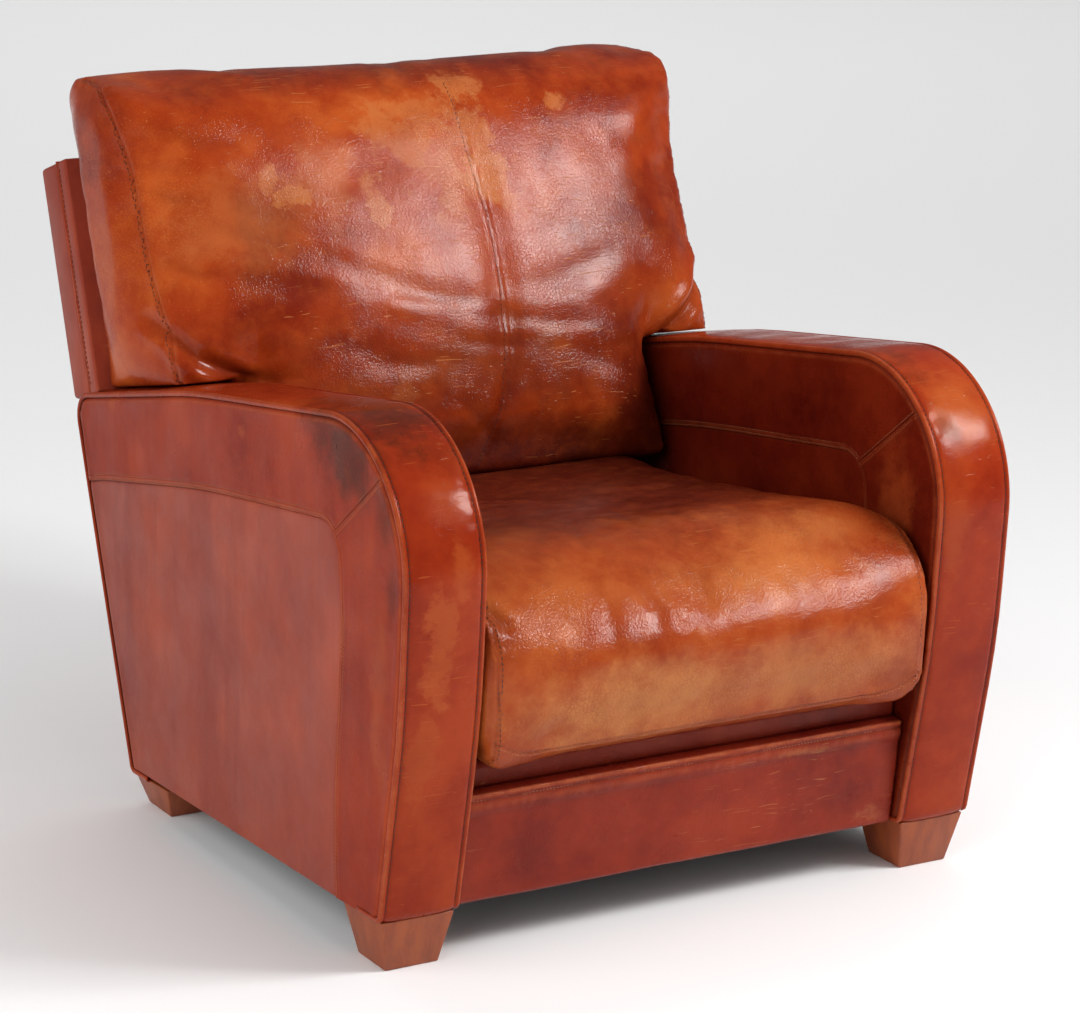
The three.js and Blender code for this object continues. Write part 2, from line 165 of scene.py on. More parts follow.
def filleted(corners: Sequence[Corner], step: float = 0.06) -> Path:
    """Rounds the inner corners of an open line with arcs.

    Args:
        corners: (y, z, radius) in side-view millimetres.
        step: the turn between the points of an arc, in radians.

    Returns:
        The line.
    """
    points = [np.array(corners[0][:2], float)]
    for before, here, after in zip(corners, corners[1:], corners[2:]):
        corner = np.array(here[:2], float)
        back = unit(np.array(before[:2], float) - corner)
        on = unit(np.array(after[:2], float) - corner)
        half = math.acos(float(np.clip(back @ on, -1, 1))) / 2
        radius = here[2]
        if radius <= 0:
            points.append(corner)
            continue
        centre = corner + unit(back + on) * radius / math.sin(half)
        start = corner + back * radius / math.tan(half) - centre
        end = corner + on * radius / math.tan(half) - centre
        turn = math.atan2(start[0] * end[1] - start[1] * end[0], float(start @ end))
        count = max(2, int(abs(turn) / step) + 1)
        for angle in np.linspace(0, turn, count + 1):
            cos, sin = math.cos(angle), math.sin(angle)
            turned = np.array([start[0] * cos - start[1] * sin, start[0] * sin + start[1] * cos])
            points.append(centre + turned)
    points.append(np.array(corners[-1][:2], float))
    return Path(points)


@dataclass(frozen=True)
class SideView:
    """Turns side-view millimetres, from the arms' front bottom corner, into the chair's own frame."""

    back_shift: float

    def place(self, x: np.ndarray, yz_mm: np.ndarray) -> np.ndarray:
        """Returns points in metres from x in metres and (y, z) in side-view millimetres."""
        return np.stack([x, yz_mm[:, 0] * MM - self.back_shift, yz_mm[:, 1] * MM], axis=1)


# ---------------------------------------------------------------- mesh tools
def deselect_all() -> None:
    """Leaves no object selected."""
    bpy.ops.object.select_all(action="DESELECT")


def make_active(obj: bpy.types.Object) -> None:
    """Selects one object alone and makes it the active one.

    Args:
        obj: the object.
    """
    deselect_all()
    obj.select_set(True)
    bpy.context.view_layer.objects.active = obj


def read_points(obj: bpy.types.Object) -> np.ndarray:
    """Reads a mesh's vertices.

    Args:
        obj: a mesh object.

    Returns:
        An (n, 3) array.
    """
    flat = np.empty(len(obj.data.vertices) * 3, np.float32)
    obj.data.vertices.foreach_get("co", flat)
    return flat.reshape(-1, 3).astype(float)


def write_points(obj: bpy.types.Object, points: np.ndarray) -> None:
    """Moves the vertices of a mesh object."""
    obj.data.vertices.foreach_set("co", points.astype(np.float32).ravel())
    obj.data.update()


def read_normals(obj: bpy.types.Object) -> np.ndarray:
    """Reads a mesh's vertex normals.

    Args:
        obj: a mesh object.

    Returns:
        An (n, 3) array.
    """
    flat = np.empty(len(obj.data.vertices) * 3, np.float32)
    obj.data.vertex_normals.foreach_get("vector", flat)
    return flat.reshape(-1, 3).astype(float)


def paint(obj: bpy.types.Object, name: str, values: np.ndarray) -> None:
    """Stores one number per vertex for a material to read."""
    attribute = obj.data.attributes.get(name) or obj.data.attributes.new(name, "FLOAT", "POINT")
    attribute.data.foreach_set("value", values.astype(np.float32))


def apply_modifier(obj: bpy.types.Object, kind: str, **settings: object) -> None:
    """Adds a modifier with settings and applies it.

    Args:
        obj: the object.
        kind: the modifier's type.
    """
    modifier = obj.modifiers.new(kind.title(), kind)
    for key, value in settings.items():
        setattr(modifier, key, value)
    make_active(obj)
    bpy.ops.object.modifier_apply(modifier=modifier.name)


def smooth_shade(obj: bpy.types.Object) -> None:
    """Shades a whole object smoothly."""
    make_active(obj)
    bpy.ops.object.shade_smooth()


def face_away(obj: bpy.types.Object, inside: np.ndarray) -> None:
    """Flips an open sheet whose faces look towards a point that lies behind it.

    Args:
        obj: the sheet.
        inside: the point behind it.
    """
    mesh = obj.data
    looks = sum((Vector(inside) - p.center).dot(p.normal) * p.area for p in mesh.polygons)
    if looks > 0:
        make_active(obj)
        bpy.ops.object.mode_set(mode="EDIT")
        bpy.ops.mesh.select_all(action="SELECT")
        bpy.ops.mesh.flip_normals()
        bpy.ops.object.mode_set(mode="OBJECT")


Placer = Callable[[np.ndarray, np.ndarray], np.ndarray]


def shaped_grid(name: str, us: np.ndarray, vs: np.ndarray, place: Placer) -> tuple:
    """Adds a grid primitive and puts its vertex (i, j) at place(us[i], vs[j]).

    Args:
        name: the object's name.
        us: rising parameters of the grid's columns.
        vs: rising parameters of the grid's rows.
        place: gives points in metres from arrays of u and v.

    Returns:
        The object, and the u and v of each vertex.
    """
    deselect_all()
    bpy.ops.mesh.primitive_grid_add(x_subdivisions=len(us) - 1, y_subdivisions=len(vs) - 1, size=1)
    obj = bpy.context.object
    obj.name = obj.data.name = name
    points = read_points(obj)
    u = us[np.rint((points[:, 0] + 0.5) * (len(us) - 1)).astype(int)]
    v = vs[np.rint((points[:, 1] + 0.5) * (len(vs) - 1)).astype(int)]
    write_points(obj, place(u, v))
    return obj, u, v


def prism(name: str, outline: np.ndarray, x0: float, x1: float) -> bpy.types.Object:
    """Fills a closed side-view outline and extrudes it across the chair.

    Args:
        name: the object's name.
        outline: (y, z) points in metres.
        x0: where it starts.
        x1: where it ends.

    Returns:
        The solid.
    """
    deselect_all()
    bpy.ops.mesh.primitive_circle_add(vertices=len(outline), radius=1, fill_type="NGON")
    obj = bpy.context.object
    obj.name = obj.data.name = name
    write_points(obj, np.column_stack([np.full(len(outline), x0), outline]))
    bpy.ops.object.mode_set(mode="EDIT")
    bpy.ops.mesh.select_all(action="SELECT")
    bpy.ops.mesh.extrude_region_move(TRANSFORM_OT_translate={"value": (x1 - x0, 0, 0)})
    bpy.ops.mesh.select_all(action="SELECT")
    bpy.ops.mesh.normals_make_consistent(inside=False)
    bpy.ops.object.mode_set(mode="OBJECT")
    return obj


def unevenness(points: np.ndarray, size: float, seed: float) -> np.ndarray:
    """Returns gentle random numbers between about -1 and 1 that vary over a length in metres."""
    shift = Vector((seed, seed * 1.7, seed * 0.3))
    return np.array([noise.noise(Vector(p) / size + shift) for p in points])


def seated(obj: bpy.types.Object, slot: str, finish: "Finish", *nodes: str) -> bpy.types.Object:
    """Dresses a finished piece, lets it ride on the chair and hides the nodes it stands for.

    Args:
        obj: the piece.
        slot: not used.
        finish: its finish.

    Returns:
        The piece.
    """
    obj.data.materials.clear()
    obj.data.materials.append(finish.material())
    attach(obj, BODY)
    if nodes:
        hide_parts(*nodes)
    LOG.info("%s: %d faces", obj.name, len(obj.data.polygons))
    return obj


# ---------------------------------------------------------------- finishes
class Weave:
    """Builds one material's nodes: short calls that return sockets."""

    def __init__(self, name: str) -> None:
        """Args:
            name: the material's name.
        """
        self.material = bpy.data.materials.new(name)
        self.material.use_nodes = True
        self.tree = self.material.node_tree
        self.shader = self.tree.nodes["Principled BSDF"]
        self.place = self.tree.nodes.new("ShaderNodeTexCoord").outputs["Object"]

    def feed(self, socket: Socket, value: object) -> None:
        """Links a socket to another, or sets its number or colour.

        Args:
            socket: the input.
            value: an output socket, a number or a tuple.
        """
        if isinstance(value, Socket):
            self.tree.links.new(value, socket)
        elif isinstance(value, tuple) and len(value) == 3 and socket.type == "RGBA":
            socket.default_value = (*value, 1.0)
        else:
            socket.default_value = value

    def node(self, kind: str, output: int | str = 0, properties: dict | None = None,
             **inputs: object) -> Socket:
        """Adds a node; its inputs are named, with _ for a space.

        Args:
            kind: the node's type.
            output: which output comes back.
            properties: settings of the node itself.

        Returns:
            The output socket.
        """
        made = self.tree.nodes.new(kind)
        for key, value in (properties or {}).items():
            setattr(made, key, value)
        for key, value in inputs.items():
            self.feed(made.inputs[key.replace("_", " ")], value)
        return made.outputs[output]

    def noise(self, scale: float, detail: float = 4, rough: float = 0.55, at: object = None,
              color: bool = False) -> Socket:
        """Adds fractal noise.

        Args:
            scale: waves per metre.
            detail: octaves.
            rough: the strength of the finer ones.
            at: where it is read; by default the place itself.
            color: whether three numbers are wanted.

        Returns:
            The noise.
        """
        return self.node(
            "ShaderNodeTexNoise", "Color" if color else "Fac",
            Vector=self.place if at is None else at, Scale=scale, Detail=detail, Roughness=rough,
        )

    def cells(self, scale: float, feature: str, at: object = None, jitter: float = 1.0) -> Socket:
        """Adds a cell texture.

        Args:
            scale: cells per metre.
            feature: which distance it gives.
            at: where it is read; by default the place itself.
            jitter: how irregular the cells are.

        Returns:
            The distance.
        """
        return self.node(
            "ShaderNodeTexVoronoi", "Distance", {"feature": feature},
            Vector=self.place if at is None else at, Scale=scale, Randomness=jitter,
        )

    def sum(self, operation: str, a: object, b: object = 0.0) -> Socket:
        """Adds a sum, product or other math of two numbers.

        Args:
            operation: the math.
            a: the first number.
            b: the second number.

        Returns:
            The result.
        """
        made = self.tree.nodes.new("ShaderNodeMath")
        made.operation = operation
        self.feed(made.inputs[0], a)
        self.feed(made.inputs[1], b)
        return made.outputs[0]

    def vector(self, operation: str, a: object, b: object = (0.0, 0.0, 0.0),
               output: str = "Vector") -> Socket:
        """Adds vector math.

        Args:
            operation: the math.
            a: the first vector.
            b: the second vector.
            output: which output comes back.

        Returns:
            The result.
        """
        made = self.tree.nodes.new("ShaderNodeVectorMath")
        made.operation = operation
        self.feed(made.inputs[0], a)
        self.feed(made.inputs[1], b)
        return made.outputs[output]

    def stretched(self, scale: Point, turn: Point = (0.0, 0.0, 0.0), at: object = None) -> Socket:
        """Returns a place, turned and stretched along the axes."""
        start = self.place if at is None else at
        return self.node("ShaderNodeMapping", Vector=start, Scale=scale, Rotation=turn)

    def wandering(self, scale: float, detail: float, reach: float) -> Socket:
        """Returns the place, pushed about by coarse noise."""
        push = self.vector("MULTIPLY", self.noise(scale, detail, color=True), (reach,) * 3)
        return self.vector("ADD", self.place, push)

    def span(self, value: object, low: float, high: float, to_low: float = 0.0,
             to_high: float = 1.0) -> Socket:
        """Eases a number from one range into another.

        Args:
            value: the number.
            low: where the old range starts.
            high: where it ends.
            to_low: where the new range starts.
            to_high: where it ends.

        Returns:
            The eased number.
        """
        return self.node(
            "ShaderNodeMapRange", 0, {"interpolation_type": "SMOOTHSTEP"},
            Value=value, From_Min=low, From_Max=high, To_Min=to_low, To_Max=to_high,
        )

    def mix(self, share: object, a: object, b: object) -> Socket:
        """Mixes two colours.

        Args:
            share: how much of the second.
            a: the first colour.
            b: the second colour.

        Returns:
            The mix.
        """
        made = self.tree.nodes.new("ShaderNodeMix")
        made.data_type = "RGBA"
        self.feed(made.inputs[0], share)
        self.feed(made.inputs[6], a)
        self.feed(made.inputs[7], b)
        return made.outputs[2]

    def painted(self, name: str) -> Socket:
        """Returns the number that a mesh carries under a name, or 0."""
        return self.node("ShaderNodeAttribute", "Fac", {"attribute_name": name})

    def bump(self, height: object, depth: float, below: object = None) -> Socket:
        """Bumps a normal by a height.

        Args:
            height: from 0 to 1.
            depth: how deep a height of 1 is.
            below: the normal that it adds to.

        Returns:
            The new normal.
        """
        made = self.tree.nodes.new("ShaderNodeBump")
        made.inputs["Strength"].default_value = 1.0
        made.inputs["Distance"].default_value = depth
        self.feed(made.inputs["Height"], height)
        if below is not None:
            self.feed(made.inputs["Normal"], below)
        return made.outputs[0]

    def finish(self, color: object, rough: object, normal: object = None,
               **fixed: object) -> bpy.types.Material:
        """Feeds the shader; fixed values are set on its own sockets.

        Args:
            color: the base colour.
            rough: the roughness.
            normal: the normal, where it is bumped.

        Returns:
            The material.
        """
        self.feed(self.shader.inputs["Base Color"], color)
        self.feed(self.shader.inputs["Roughness"], rough)
        if normal is not None:
            self.feed(self.shader.inputs["Normal"], normal)
            self.feed(self.shader.inputs["Coat Normal"], normal)
        for key, value in fixed.items():
            self.shader.inputs[key.replace("_", " ")].default_value = value
        return self.material


class Finish:
    """A finish whose material is built once, when it is first asked for."""

    name: str

    def material(self) -> bpy.types.Material:
        """Returns the finish's material."""
        return bpy.data.materials.get(self.name) or self.build()

    def build(self) -> bpy.types.Material:
        """Returns a newly built material."""
        raise NotImplementedError


@dataclass(frozen=True)
class Spot:
    """A patch that changes the leather's colour, an ellipsoid with a ragged rim: some stand for wear and
    grime, some are painted shade and painted light.
    """

    centre: Point
    size: Point
    strength: float = 1.0
    soft: float = 0.6
    ragged: float = 0.5


@dataclass(frozen=True)
class Leather(Finish):
    """Glazed aniline leather: mottled, patched by wear, grime, painted shade and painted light, darkened by
    grime and painted shade in its grooves, worn at its seams, scratched, grained.
    """

    name: str
    base: Color
    deep: Color
    bright: Color
    pale: Color = (0.42, 0.17, 0.06)
    # dark colour for grime, and for painted shade in the grooves and in some patches
    dirt_and_shade: Color = (0.05, 0.014, 0.008)
    # worn colour for edges and seams, also used as a painted highlight on the front panel's gathered roll
    rub_and_highlight_color: Color = (0.40, 0.085, 0.028)
    rough: float = 0.33
    grain_mm: float = 2.4
    grain_depth: float = 0.00016
    crease_depth: float = 0.0003
    lumps: float = 0.0008
    streaks: float = 0.0
    scratches: float = 0.5
    mottle: float = 7.0
    pale_spots: tuple[Spot, ...] = ()
    dark_spots: tuple[Spot, ...] = ()
    glaze: float = 0.12
    shine: float = 0.25
    polish: float = 0.09
    crackle: float = 0.1
    glaze_tint: tuple[float, float, float, float] = (1.0, 0.62, 0.42, 1.0)

    def patches(self, weave: Weave, spots: Sequence[Spot]) -> object:
        """Marks the places that lie within any of the spots.

        Args:
            weave: the material's nodes.
            spots: the spots.

        Returns:
            A share from 0 to 1.
        """
        wander = weave.vector("SUBTRACT", weave.noise(21.0, 7, 0.68, color=True), (0.5, 0.5, 0.5))
        fleck = weave.span(weave.noise(55.0, 4, 0.6), 0.3, 0.62, 0.78, 1.0)
        total: object = 0.0
        for spot in spots:
            shifted = weave.vector("SUBTRACT", weave.place, spot.centre)
            scaled = weave.vector("DIVIDE", shifted, spot.size)
            amount = (3.2 * spot.ragged,) * 3
            moved = weave.vector("ADD", scaled, weave.vector("MULTIPLY", wander, amount))
            reach = weave.vector("LENGTH", moved, output="Value")
            share = weave.span(reach, 1.0, 1.0 - spot.soft, 0.0, spot.strength)
            total = weave.sum("MAXIMUM", total, share)
        return weave.sum("MULTIPLY", total, fleck)

    def scratch_lines(self, weave: Weave) -> object:
        """Draws thin, sparse lines in three directions.

        Args:
            weave: the material's nodes.

        Returns:
            A share from 0 to 1.
        """
        total: object = 0.0
        for turn, where in (((0.2, 1.3, 0.3), 5.0), ((1.2, 0.1, 0.9), 6.3), ((0.7, 1.3, 2.2), 4.1)):
            turned = weave.stretched((13.0, 420.0, 420.0), turn, at=weave.wandering(9.0, 2, 0.02))
            line = weave.span(weave.noise(1.0, 1.0, 0.4, at=turned), 0.70, 0.76)
            near = weave.span(weave.noise(where, 2, 0.5), 0.5, 0.62)
            total = weave.sum("MAXIMUM", total, weave.sum("MULTIPLY", line, near))
        return weave.sum("MULTIPLY", total, self.scratches)

    def build(self) -> bpy.types.Material:
        """Builds the leather.

        Returns:
            The material.
        """
        weave = Weave(self.name)
        broad = weave.noise(self.mottle, 6, 0.6)
        color = weave.mix(weave.span(broad, 0.32, 0.52), self.deep, self.base)
        color = weave.mix(weave.span(broad, 0.5, 0.68), color, self.bright)
        cloud = weave.noise(self.mottle * 5.5, 5, 0.65)
        color = weave.mix(weave.span(cloud, 0.35, 0.75, 0.0, 0.35), color, self.bright)
        if self.streaks:
            run = weave.noise(1.0, 4, 0.6, at=weave.stretched((22.0, 22.0, 1.6)))
            color = weave.mix(weave.span(run, 0.42, 0.7, 0.0, self.streaks), color, self.deep)
        if self.pale_spots:
            # Pale patches: wear, and painted light on the seat's lower front.
            color = weave.mix(self.patches(weave, self.pale_spots), color, self.pale)
        if self.dark_spots:
            # Dark patches: grime in some places, painted shade in others, elsewhere just darker areas.
            color = weave.mix(self.patches(weave, self.dark_spots), color, self.dirt_and_shade)
        chipped = weave.span(weave.noise(38.0, 6, 0.75), 0.36, 0.6, 0.3, 1.0)
        # Worn edges and seams, and a painted highlight on the front panel's gathered roll.
        color = weave.mix(weave.sum("MULTIPLY", weave.painted("rub"), chipped), color, self.rub_and_highlight_color)
        # Painted shade, with some grime, in grooves, seams and creases, read from the groove attribute.
        color = weave.mix(weave.sum("MULTIPLY", weave.painted("groove"), 0.8), color, self.dirt_and_shade)
        lines = self.scratch_lines(weave)
        color = weave.mix(lines, color, self.pale)

        pebble = weave.cells(1000.0 / self.grain_mm, "SMOOTH_F1")
        fine = weave.cells(2300.0 / self.grain_mm, "F1")
        web = weave.cells(620.0 / self.grain_mm, "DISTANCE_TO_EDGE", at=weave.wandering(90.0, 3, 0.004))
        crease = weave.span(web, 0.0, 0.14)
        stretched = weave.span(weave.noise(11.0, 3), 0.35, 0.65)
        cracks = weave.sum("MULTIPLY", weave.span(web, 0.18, 0.0, 0.0, self.crackle), stretched)
        color = weave.mix(cracks, color, self.deep)
        swell = weave.bump(weave.noise(22.0, 3, 0.5), self.lumps)
        lined = weave.bump(weave.sum("MULTIPLY", crease, stretched), self.crease_depth, swell)
        height = weave.sum("ADD", pebble, weave.sum("MULTIPLY", fine, 0.4))
        even = weave.span(weave.noise(6.0, 3), 0.3, 0.7, 0.5, 1.0)
        grained = weave.bump(weave.sum("MULTIPLY", height, even), self.grain_depth * 2, lined)
        scored = weave.bump(weave.sum("SUBTRACT", 1.0, lines), 0.0002, grained)
        gloss = weave.span(weave.noise(13.0, 5, 0.6), 0.3, 0.7, self.rough - 0.07, self.rough + 0.1)
        return weave.finish(color, gloss, scored, Coat_Weight=self.glaze, Coat_Roughness=self.polish,
                            Specular_IOR_Level=self.shine, Specular_Tint=self.glaze_tint)


@dataclass(frozen=True)
class Wood(Finish):
    """Wood with long grain, stained and lacquered or left raw."""

    name: str
    light: Color
    dark: Color
    rough: float = 0.4
    along: Point = (60.0, 60.0, 4.0)
    coat: float = 0.1

    def build(self) -> bpy.types.Material:
        """Builds the wood.

        Returns:
            The material.
        """
        weave = Weave(self.name)
        flow = weave.noise(1.0, 5, 0.6, at=weave.stretched(self.along))
        pores = weave.noise(1.0, 3, 0.7, at=weave.stretched(tuple(8.0 * s for s in self.along)))
        tone = weave.sum("ADD", weave.sum("MULTIPLY", flow, 0.75), weave.sum("MULTIPLY", pores, 0.25))
        color = weave.mix(weave.span(tone, 0.36, 0.62), self.dark, self.light)
        color = weave.mix(weave.span(weave.noise(25.0, 4), 0.55, 0.8, 0.0, 0.5), color, self.dark)
        normal = weave.bump(pores, 0.00025)
        gloss = weave.span(pores, 0.3, 0.7, self.rough, self.rough + 0.12)
        return weave.finish(color, gloss, normal, Coat_Weight=self.coat, Coat_Roughness=0.25)


@dataclass(frozen=True)
class Cloth(Finish):
    """Plain woven or felted cloth, webbing, foam or thread."""

    name: str
    color: Color
    shade: Color
    scale: float = 900.0
    depth: float = 0.0002
    rough: float = 0.9

    def build(self) -> bpy.types.Material:
        """Builds the cloth.

        Returns:
            The material.
        """
        weave = Weave(self.name)
        threads = weave.cells(self.scale, "F1", jitter=0.35)
        worn = weave.noise(30.0, 4, 0.6)
        color = weave.mix(weave.span(threads, 0.1, 0.7), self.color, self.shade)
        color = weave.mix(weave.span(worn, 0.4, 0.75, 0.0, 0.5), color, self.shade)
        return weave.finish(color, self.rough, weave.bump(threads, self.depth))


@dataclass(frozen=True)
class Steel(Finish):
    """Zinc-plated steel."""

    name: str = "zinc_plated_steel"

    def build(self) -> bpy.types.Material:
        """Builds the steel.

        Returns:
            The material.
        """
        weave = Weave(self.name)
        cloudy = weave.noise(180.0, 4)
        color = weave.mix(cloudy, (0.5, 0.5, 0.47), (0.72, 0.71, 0.66))
        gloss = weave.span(cloudy, 0.3, 0.7, 0.28, 0.5)
        return weave.finish(color, gloss, weave.bump(cloudy, 0.0001), Metallic=1.0)


ARM_LEATHER = Leather(
    "arm_leather", base=(0.245, 0.021, 0.005), deep=(0.18, 0.012, 0.004), bright=(0.32, 0.038, 0.008),
    pale=(0.38, 0.075, 0.016), dirt_and_shade=(0.045, 0.011, 0.005), rough=0.2, grain_mm=1.8, grain_depth=0.00004,
    crease_depth=0.00004, streaks=0.25, scratches=0.6, glaze=0.22, shine=0.06,
    pale_spots=(
        Spot((-0.368, -0.49, 0.41), (0.030, 0.06, 0.080), 0.6, 0.4, 1.0),
        Spot((-0.385, -0.49, 0.27), (0.026, 0.06, 0.070), 0.35, 0.4, 1.0),
        Spot((-0.340, -0.49, 0.48), (0.018, 0.05, 0.055), 0.5, 0.5, 0.9),
        Spot((-0.345, -0.48, 0.575), (0.045, 0.06, 0.045), 0.35, 0.9, 0.6),
        Spot((0.366, -0.45, 0.590), (0.060, 0.08, 0.065), 0.9, 0.7, 0.35),
        Spot((0.335, -0.49, 0.47), (0.030, 0.05, 0.12), 0.3, 0.8, 0.7),
    ),
    dark_spots=(
        Spot((-0.41, -0.41, 0.60), (0.02, 0.05, 0.04), 0.6, 0.85, 0.4),
        # Darker on top of the left arm's curve: grime, and painted shade for a dark reflection there.
        Spot((-0.36, -0.33, 0.635), (0.07, 0.19, 0.055), 0.75, 0.6, 0.5),
        Spot((-0.33, -0.42, 0.60), (0.04, 0.05, 0.03), 0.3, 0.8, 0.5),
        # Darker on top of the right arm's curve: grime, and painted shade for a dark reflection there.
        Spot((0.33, -0.33, 0.62), (0.05, 0.12, 0.035), 0.5, 0.7, 0.5),
        Spot((0.34, -0.47, 0.57), (0.02, 0.03, 0.03), 0.4, 0.8, 0.5),
    ),
)
BAND_LEATHER = Leather(
    "arm_band_leather", base=(0.245, 0.022, 0.006), deep=(0.175, 0.013, 0.005), bright=(0.31, 0.034, 0.008),
    pale=(0.38, 0.075, 0.016), dirt_and_shade=(0.05, 0.012, 0.006), rough=0.34, grain_mm=1.8, grain_depth=0.00006,
    crease_depth=0.00010, streaks=0.35, scratches=0.5, glaze=0.03, shine=0.12,
    pale_spots=(
        Spot((-0.415, -0.085, 0.565), (0.02, 0.020, 0.012), 0.4, 0.6, 1.0),
        Spot((-0.415, 0.29, 0.515), (0.02, 0.014, 0.012), 0.35, 0.6, 1.0),
        Spot((-0.415, -0.44, 0.34), (0.03, 0.03, 0.16), 0.35, 0.8, 0.7),
    ),
    dark_spots=(
        Spot((-0.415, -0.36, 0.595), (0.035, 0.10, 0.06), 0.8, 0.65, 0.6),
        Spot((-0.415, -0.30, 0.625), (0.04, 0.11, 0.03), 0.55, 0.85, 0.5),
        Spot((-0.415, -0.45, 0.55), (0.03, 0.04, 0.06), 0.6, 0.85, 0.4),
        Spot((-0.415, -0.47, 0.46), (0.03, 0.02, 0.06), 0.4, 0.85, 0.5),
    ),
)
SIDE_LEATHER = Leather(
    "side_leather", base=(0.27, 0.044, 0.024), deep=(0.20, 0.028, 0.018), bright=(0.34, 0.056, 0.025),
    rough=0.38, grain_mm=1.8, grain_depth=0.00005, crease_depth=0.00005, streaks=0.6, scratches=0.3,
    mottle=5.0, glaze=0.04, shine=0.2, glaze_tint=(1.0, 0.74, 0.58, 1.0),
)
PANEL_LEATHER = Leather(
    "front_panel_leather", base=(0.21, 0.018, 0.008), deep=(0.14, 0.010, 0.006), bright=(0.28, 0.030, 0.011),
    rough=0.33, grain_mm=2.0, grain_depth=0.00012, crease_depth=0.0002, scratches=0.5, glaze=0.15, shine=0.15,
    pale_spots=(
        Spot((0.27, -0.45, 0.085), (0.03, 0.03, 0.018), 0.35, 0.7, 1.2),
        Spot((0.17, -0.45, 0.185), (0.05, 0.03, 0.008), 0.3, 0.7, 1.2),
    ),
)
# A darker copy of the arm leather for the arms' inner faces, between the arms and the seat: painted shade.
SHADED_INNER_LEATHER = Leather(
    "shaded_inner_arm_leather", base=(0.115, 0.008, 0.0028), deep=(0.07, 0.004, 0.002), bright=(0.17, 0.015, 0.004),
    rough=0.3, grain_mm=1.8, grain_depth=0.00006, crease_depth=0.0001, scratches=0.3, glaze=0.1,
    rub_and_highlight_color=(0.30, 0.055, 0.016),
    pale_spots=(
        Spot((0.312, -0.41, 0.47), (0.03, 0.05, 0.11), 0.5, 0.8, 0.6),
        Spot((-0.312, -0.41, 0.47), (0.03, 0.05, 0.11), 0.5, 0.8, 0.6),
    ),
    pale=(0.36, 0.06, 0.014),
)
BACK_LEATHER = Leather(
    "back_cushion_leather", base=(0.30, 0.032, 0.005), deep=(0.17, 0.012, 0.003), bright=(0.43, 0.076, 0.012),
    pale=(0.50, 0.165, 0.048), dirt_and_shade=(0.060, 0.006, 0.0035), rough=0.28, grain_mm=2.6, grain_depth=0.00010,
    crease_depth=0.00011, lumps=0.0003, scratches=0.6, glaze=0.36, shine=0.05, polish=0.07, crackle=0.3,
    mottle=6.0,
    pale_spots=(
        Spot((-0.235, 0.19, 0.815), (0.024, 0.10, 0.022), 0.6, 0.45, 1.2),
        Spot((-0.205, 0.19, 0.785), (0.040, 0.10, 0.015), 0.7, 0.4, 1.2),
        Spot((-0.16, 0.19, 0.80), (0.085, 0.10, 0.055), 0.3, 0.7, 1.0),
        Spot((-0.28, 0.18, 0.76), (0.16, 0.10, 0.10), 0.35, 0.9, 0.6),
        Spot((-0.09, 0.18, 0.765), (0.018, 0.10, 0.045), 0.6, 0.45, 1.2),
        Spot((-0.02, 0.20, 0.86), (0.085, 0.10, 0.060), 0.5, 0.55, 1.2),
        Spot((0.060, 0.21, 0.885), (0.045, 0.10, 0.055), 0.6, 0.45, 1.2),
        Spot((0.075, 0.19, 0.81), (0.055, 0.10, 0.065), 0.7, 0.45, 1.2),
        Spot((0.01, 0.17, 0.78), (0.055, 0.10, 0.075), 0.45, 0.8, 1.0),
        Spot((0.20, 0.21, 0.875), (0.022, 0.10, 0.014), 0.6, 0.5, 1.0),
        Spot((-0.10, 0.10, 0.535), (0.022, 0.10, 0.030), 0.35, 0.5, 1.0),
    ),
    dark_spots=(
        # Darker towards the bottom, where the cushion meets the seat, and low across the middle.
        Spot((0.06, 0.06, 0.41), (0.40, 0.18, 0.13), 0.97, 0.75, 0.2),
        Spot((0.08, 0.10, 0.56), (0.50, 0.18, 0.12), 0.6, 0.9, 0.4),
        # Darker on the right side.
        Spot((0.26, 0.14, 0.70), (0.17, 0.20, 0.15), 0.35, 0.85, 0.3),
        Spot((0.27, 0.09, 0.50), (0.12, 0.18, 0.12), 0.85, 0.7, 0.3),
        # Darker along the top.
        Spot((0.0, 0.30, 0.945), (0.55, 0.16, 0.060), 0.75, 0.9, 0.4),
    ),
)
SEAT_LEATHER = Leather(
    "seat_cushion_leather", base=(0.31, 0.046, 0.009), deep=(0.23, 0.027, 0.006), bright=(0.42, 0.095, 0.020),
    pale=(0.50, 0.18, 0.05), dirt_and_shade=(0.072, 0.0075, 0.004), rough=0.36, grain_mm=3.0, grain_depth=0.00022,
    crease_depth=0.00018, lumps=0.0009, scratches=0.35, mottle=7.5, glaze=0.32, shine=0.05,
    polish=0.14, crackle=0.35,
    pale_spots=(
        # These two brighten the lower front of the nose: painted light.
        Spot((-0.10, -0.50, 0.305), (0.22, 0.12, 0.075), 0.8, 0.8, 0.5),
        Spot((0.12, -0.50, 0.305), (0.20, 0.12, 0.070), 0.6, 0.8, 0.5),
        Spot((0.06, -0.48, 0.43), (0.22, 0.09, 0.045), 0.35, 0.9, 0.5),
        Spot((0.17, -0.42, 0.455), (0.11, 0.07, 0.04), 0.4, 0.9, 0.5),
    ),
    dark_spots=(
        # Much darker over the rear of the top, behind the nose.
        Spot((0.0, 0.06, 0.45), (0.7, 0.54, 0.18), 1.0, 0.42, 0.12),
        # Darker along the bottom of the front and towards both ends of it.
        Spot((0.0, -0.50, 0.235), (0.5, 0.10, 0.028), 0.45, 0.9, 0.3),
        Spot((0.29, -0.50, 0.29), (0.08, 0.10, 0.09), 0.35, 0.9, 0.5),
        Spot((-0.29, -0.50, 0.40), (0.04, 0.10, 0.05), 0.35, 0.9, 0.5),
    ),
)
